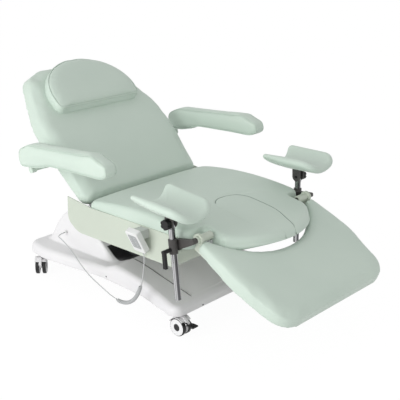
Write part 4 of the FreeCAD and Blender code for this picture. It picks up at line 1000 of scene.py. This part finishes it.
keypad_grey = moulded_plastic("keypad_grey", paint(166, 169, 170), paint(156, 159, 160), 0.5)
symbol_grey = moulded_plastic("symbol_grey", paint(112, 114, 116), paint(104, 106, 108), 0.5)
keypad_rim = rounded(mirrored(KEYPAD_OUTLINE), KEYPAD_STEP)
keypad = sheet("handset_keypad", keypad_rim, -KEYPAD_SUNK, KEYPAD_THICK, keypad_grey)
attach(keypad, "seat")
for number, (y, z) in enumerate(KEYS, 1):
    finished(key_grey, "handset_button_%d" % number)
    tip = -ARROW if number % 2 else ARROW
    foot = z - ARROW_FOOT * tip
    arrow = np.array([(y - tip, foot), (y + tip, foot), (y, z + tip)])
    symbol = sheet("key_symbol_%d" % number, arrow, KEY_TOP - ARROW_THICK, KEY_TOP, symbol_grey)
    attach(symbol, "handset_button_%d" % number)


# Cord: one round grey lead from the foot of the handset, limp, up to the grommet in the hump.
# It is curled where it hangs, so that it can stretch as the table lifts.
CORD_RADIUS, CORD_LENGTH, CORD_STEP = 0.0022, 2.053, 0.0019
CURL_RADIUS, CURL_TURNS, CURL_EASE, CURL_STEP = 0.0063, 34, 4, 0.0004
LEAD_ROUTE = [
    (-369.9, -91, 350.6), (-359.8, -91, 331.1), (-360, -91, 300), (-360, -84, 250), (-360, -74, 203),
]
CURL_ROUTE = [(-359, -47, 146), (-357, -20, 111), (-355, 20, 84), (-353, 64, 74), (-350, 103, 78)]
BASE_ROUTE = [
    (-348.3, 131, 81.7), (-345, 166, 90), (-341, 211, 102), (-335, 258, 112), (-326, 306, 124),
    (-312, 357, 137), (-294, 410, 150), (-280, 460, 166), (-270, 508, 182), (-262, 548, 192),
    (-254, 597, 200), (-205, 597, 200),
]


def curve_mesh(kind, points, **settings):
    """Mesh of a curve of one spline whose control points are the points given."""
    curve = bpy.data.curves.new("cord_curve", "CURVE")
    curve.dimensions = "3D"
    for name, value in settings.items():
        setattr(curve, name, value)
    spline = curve.splines.new(kind)
    spline.points.add(len(points) - 1)
    spline.points.foreach_set("co", np.column_stack([points, np.ones(len(points))]).ravel())
    spline.order_u = 3
    spline.use_endpoint_u = True
    holder = placed("cord_curve", curve)
    mesh = bpy.data.meshes.new_from_object(holder.evaluated_get(bpy.context.evaluated_depsgraph_get()))
    bpy.data.objects.remove(holder)
    return mesh


def curled(line, start, end):
    """Line with a helix on the stretch from start to end, which opens and closes over its end turns: the
    line plus r (a cos t + b sin t), with a and b square to it."""
    line = even(line, CURL_STEP)
    first = np.linalg.norm(line - start, axis=1).argmin()
    last = np.linalg.norm(line - end, axis=1).argmin()
    way = np.gradient(line, axis=0)
    way /= np.linalg.norm(way, axis=1)[:, None]
    aside = np.array((1.0, 0, 0)) - way * way[:, :1]
    aside /= np.linalg.norm(aside, axis=1)[:, None]
    other = np.cross(way, aside)
    share = np.clip((np.arange(len(line)) - first) / (last - first), 0, 1)
    ease = CURL_EASE / CURL_TURNS
    ramp = smooth_step(np.minimum(share, 1 - share) / ease)
    rate = np.clip(np.minimum(share, 1 - share) / ease, 0, 1)
    turn = np.cumsum(rate)
    turn = 2 * math.pi * CURL_TURNS * turn / turn[-1]
    spread = (CURL_RADIUS * ramp)[:, None]
    return line + spread * (aside * np.cos(turn)[:, None] + other * np.sin(turn)[:, None])


cord_grey = moulded_plastic("cord_grey", paint(196, 198, 198), paint(184, 186, 187), 0.45)
cord_route = np.array(LEAD_ROUTE + CURL_ROUTE + BASE_ROUTE) * MM
curl_start, curl_end = np.array(LEAD_ROUTE[-1]) * MM, np.array(CURL_ROUTE[-1]) * MM
cord_middle = points_of(curve_mesh("NURBS", cord_route, resolution_u=24))
cord_line = even(curled(cord_middle, curl_start, curl_end), CORD_STEP)
cord_tube = curve_mesh("POLY", cord_line, bevel_depth=CORD_RADIUS, bevel_resolution=2, use_fill_caps=True)
cord = placed("handset_cord", dressed(cord_tube, cord_grey))
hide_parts("cord_handset_lead", "cord_curl", "cord_base_lead")
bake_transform(cord)
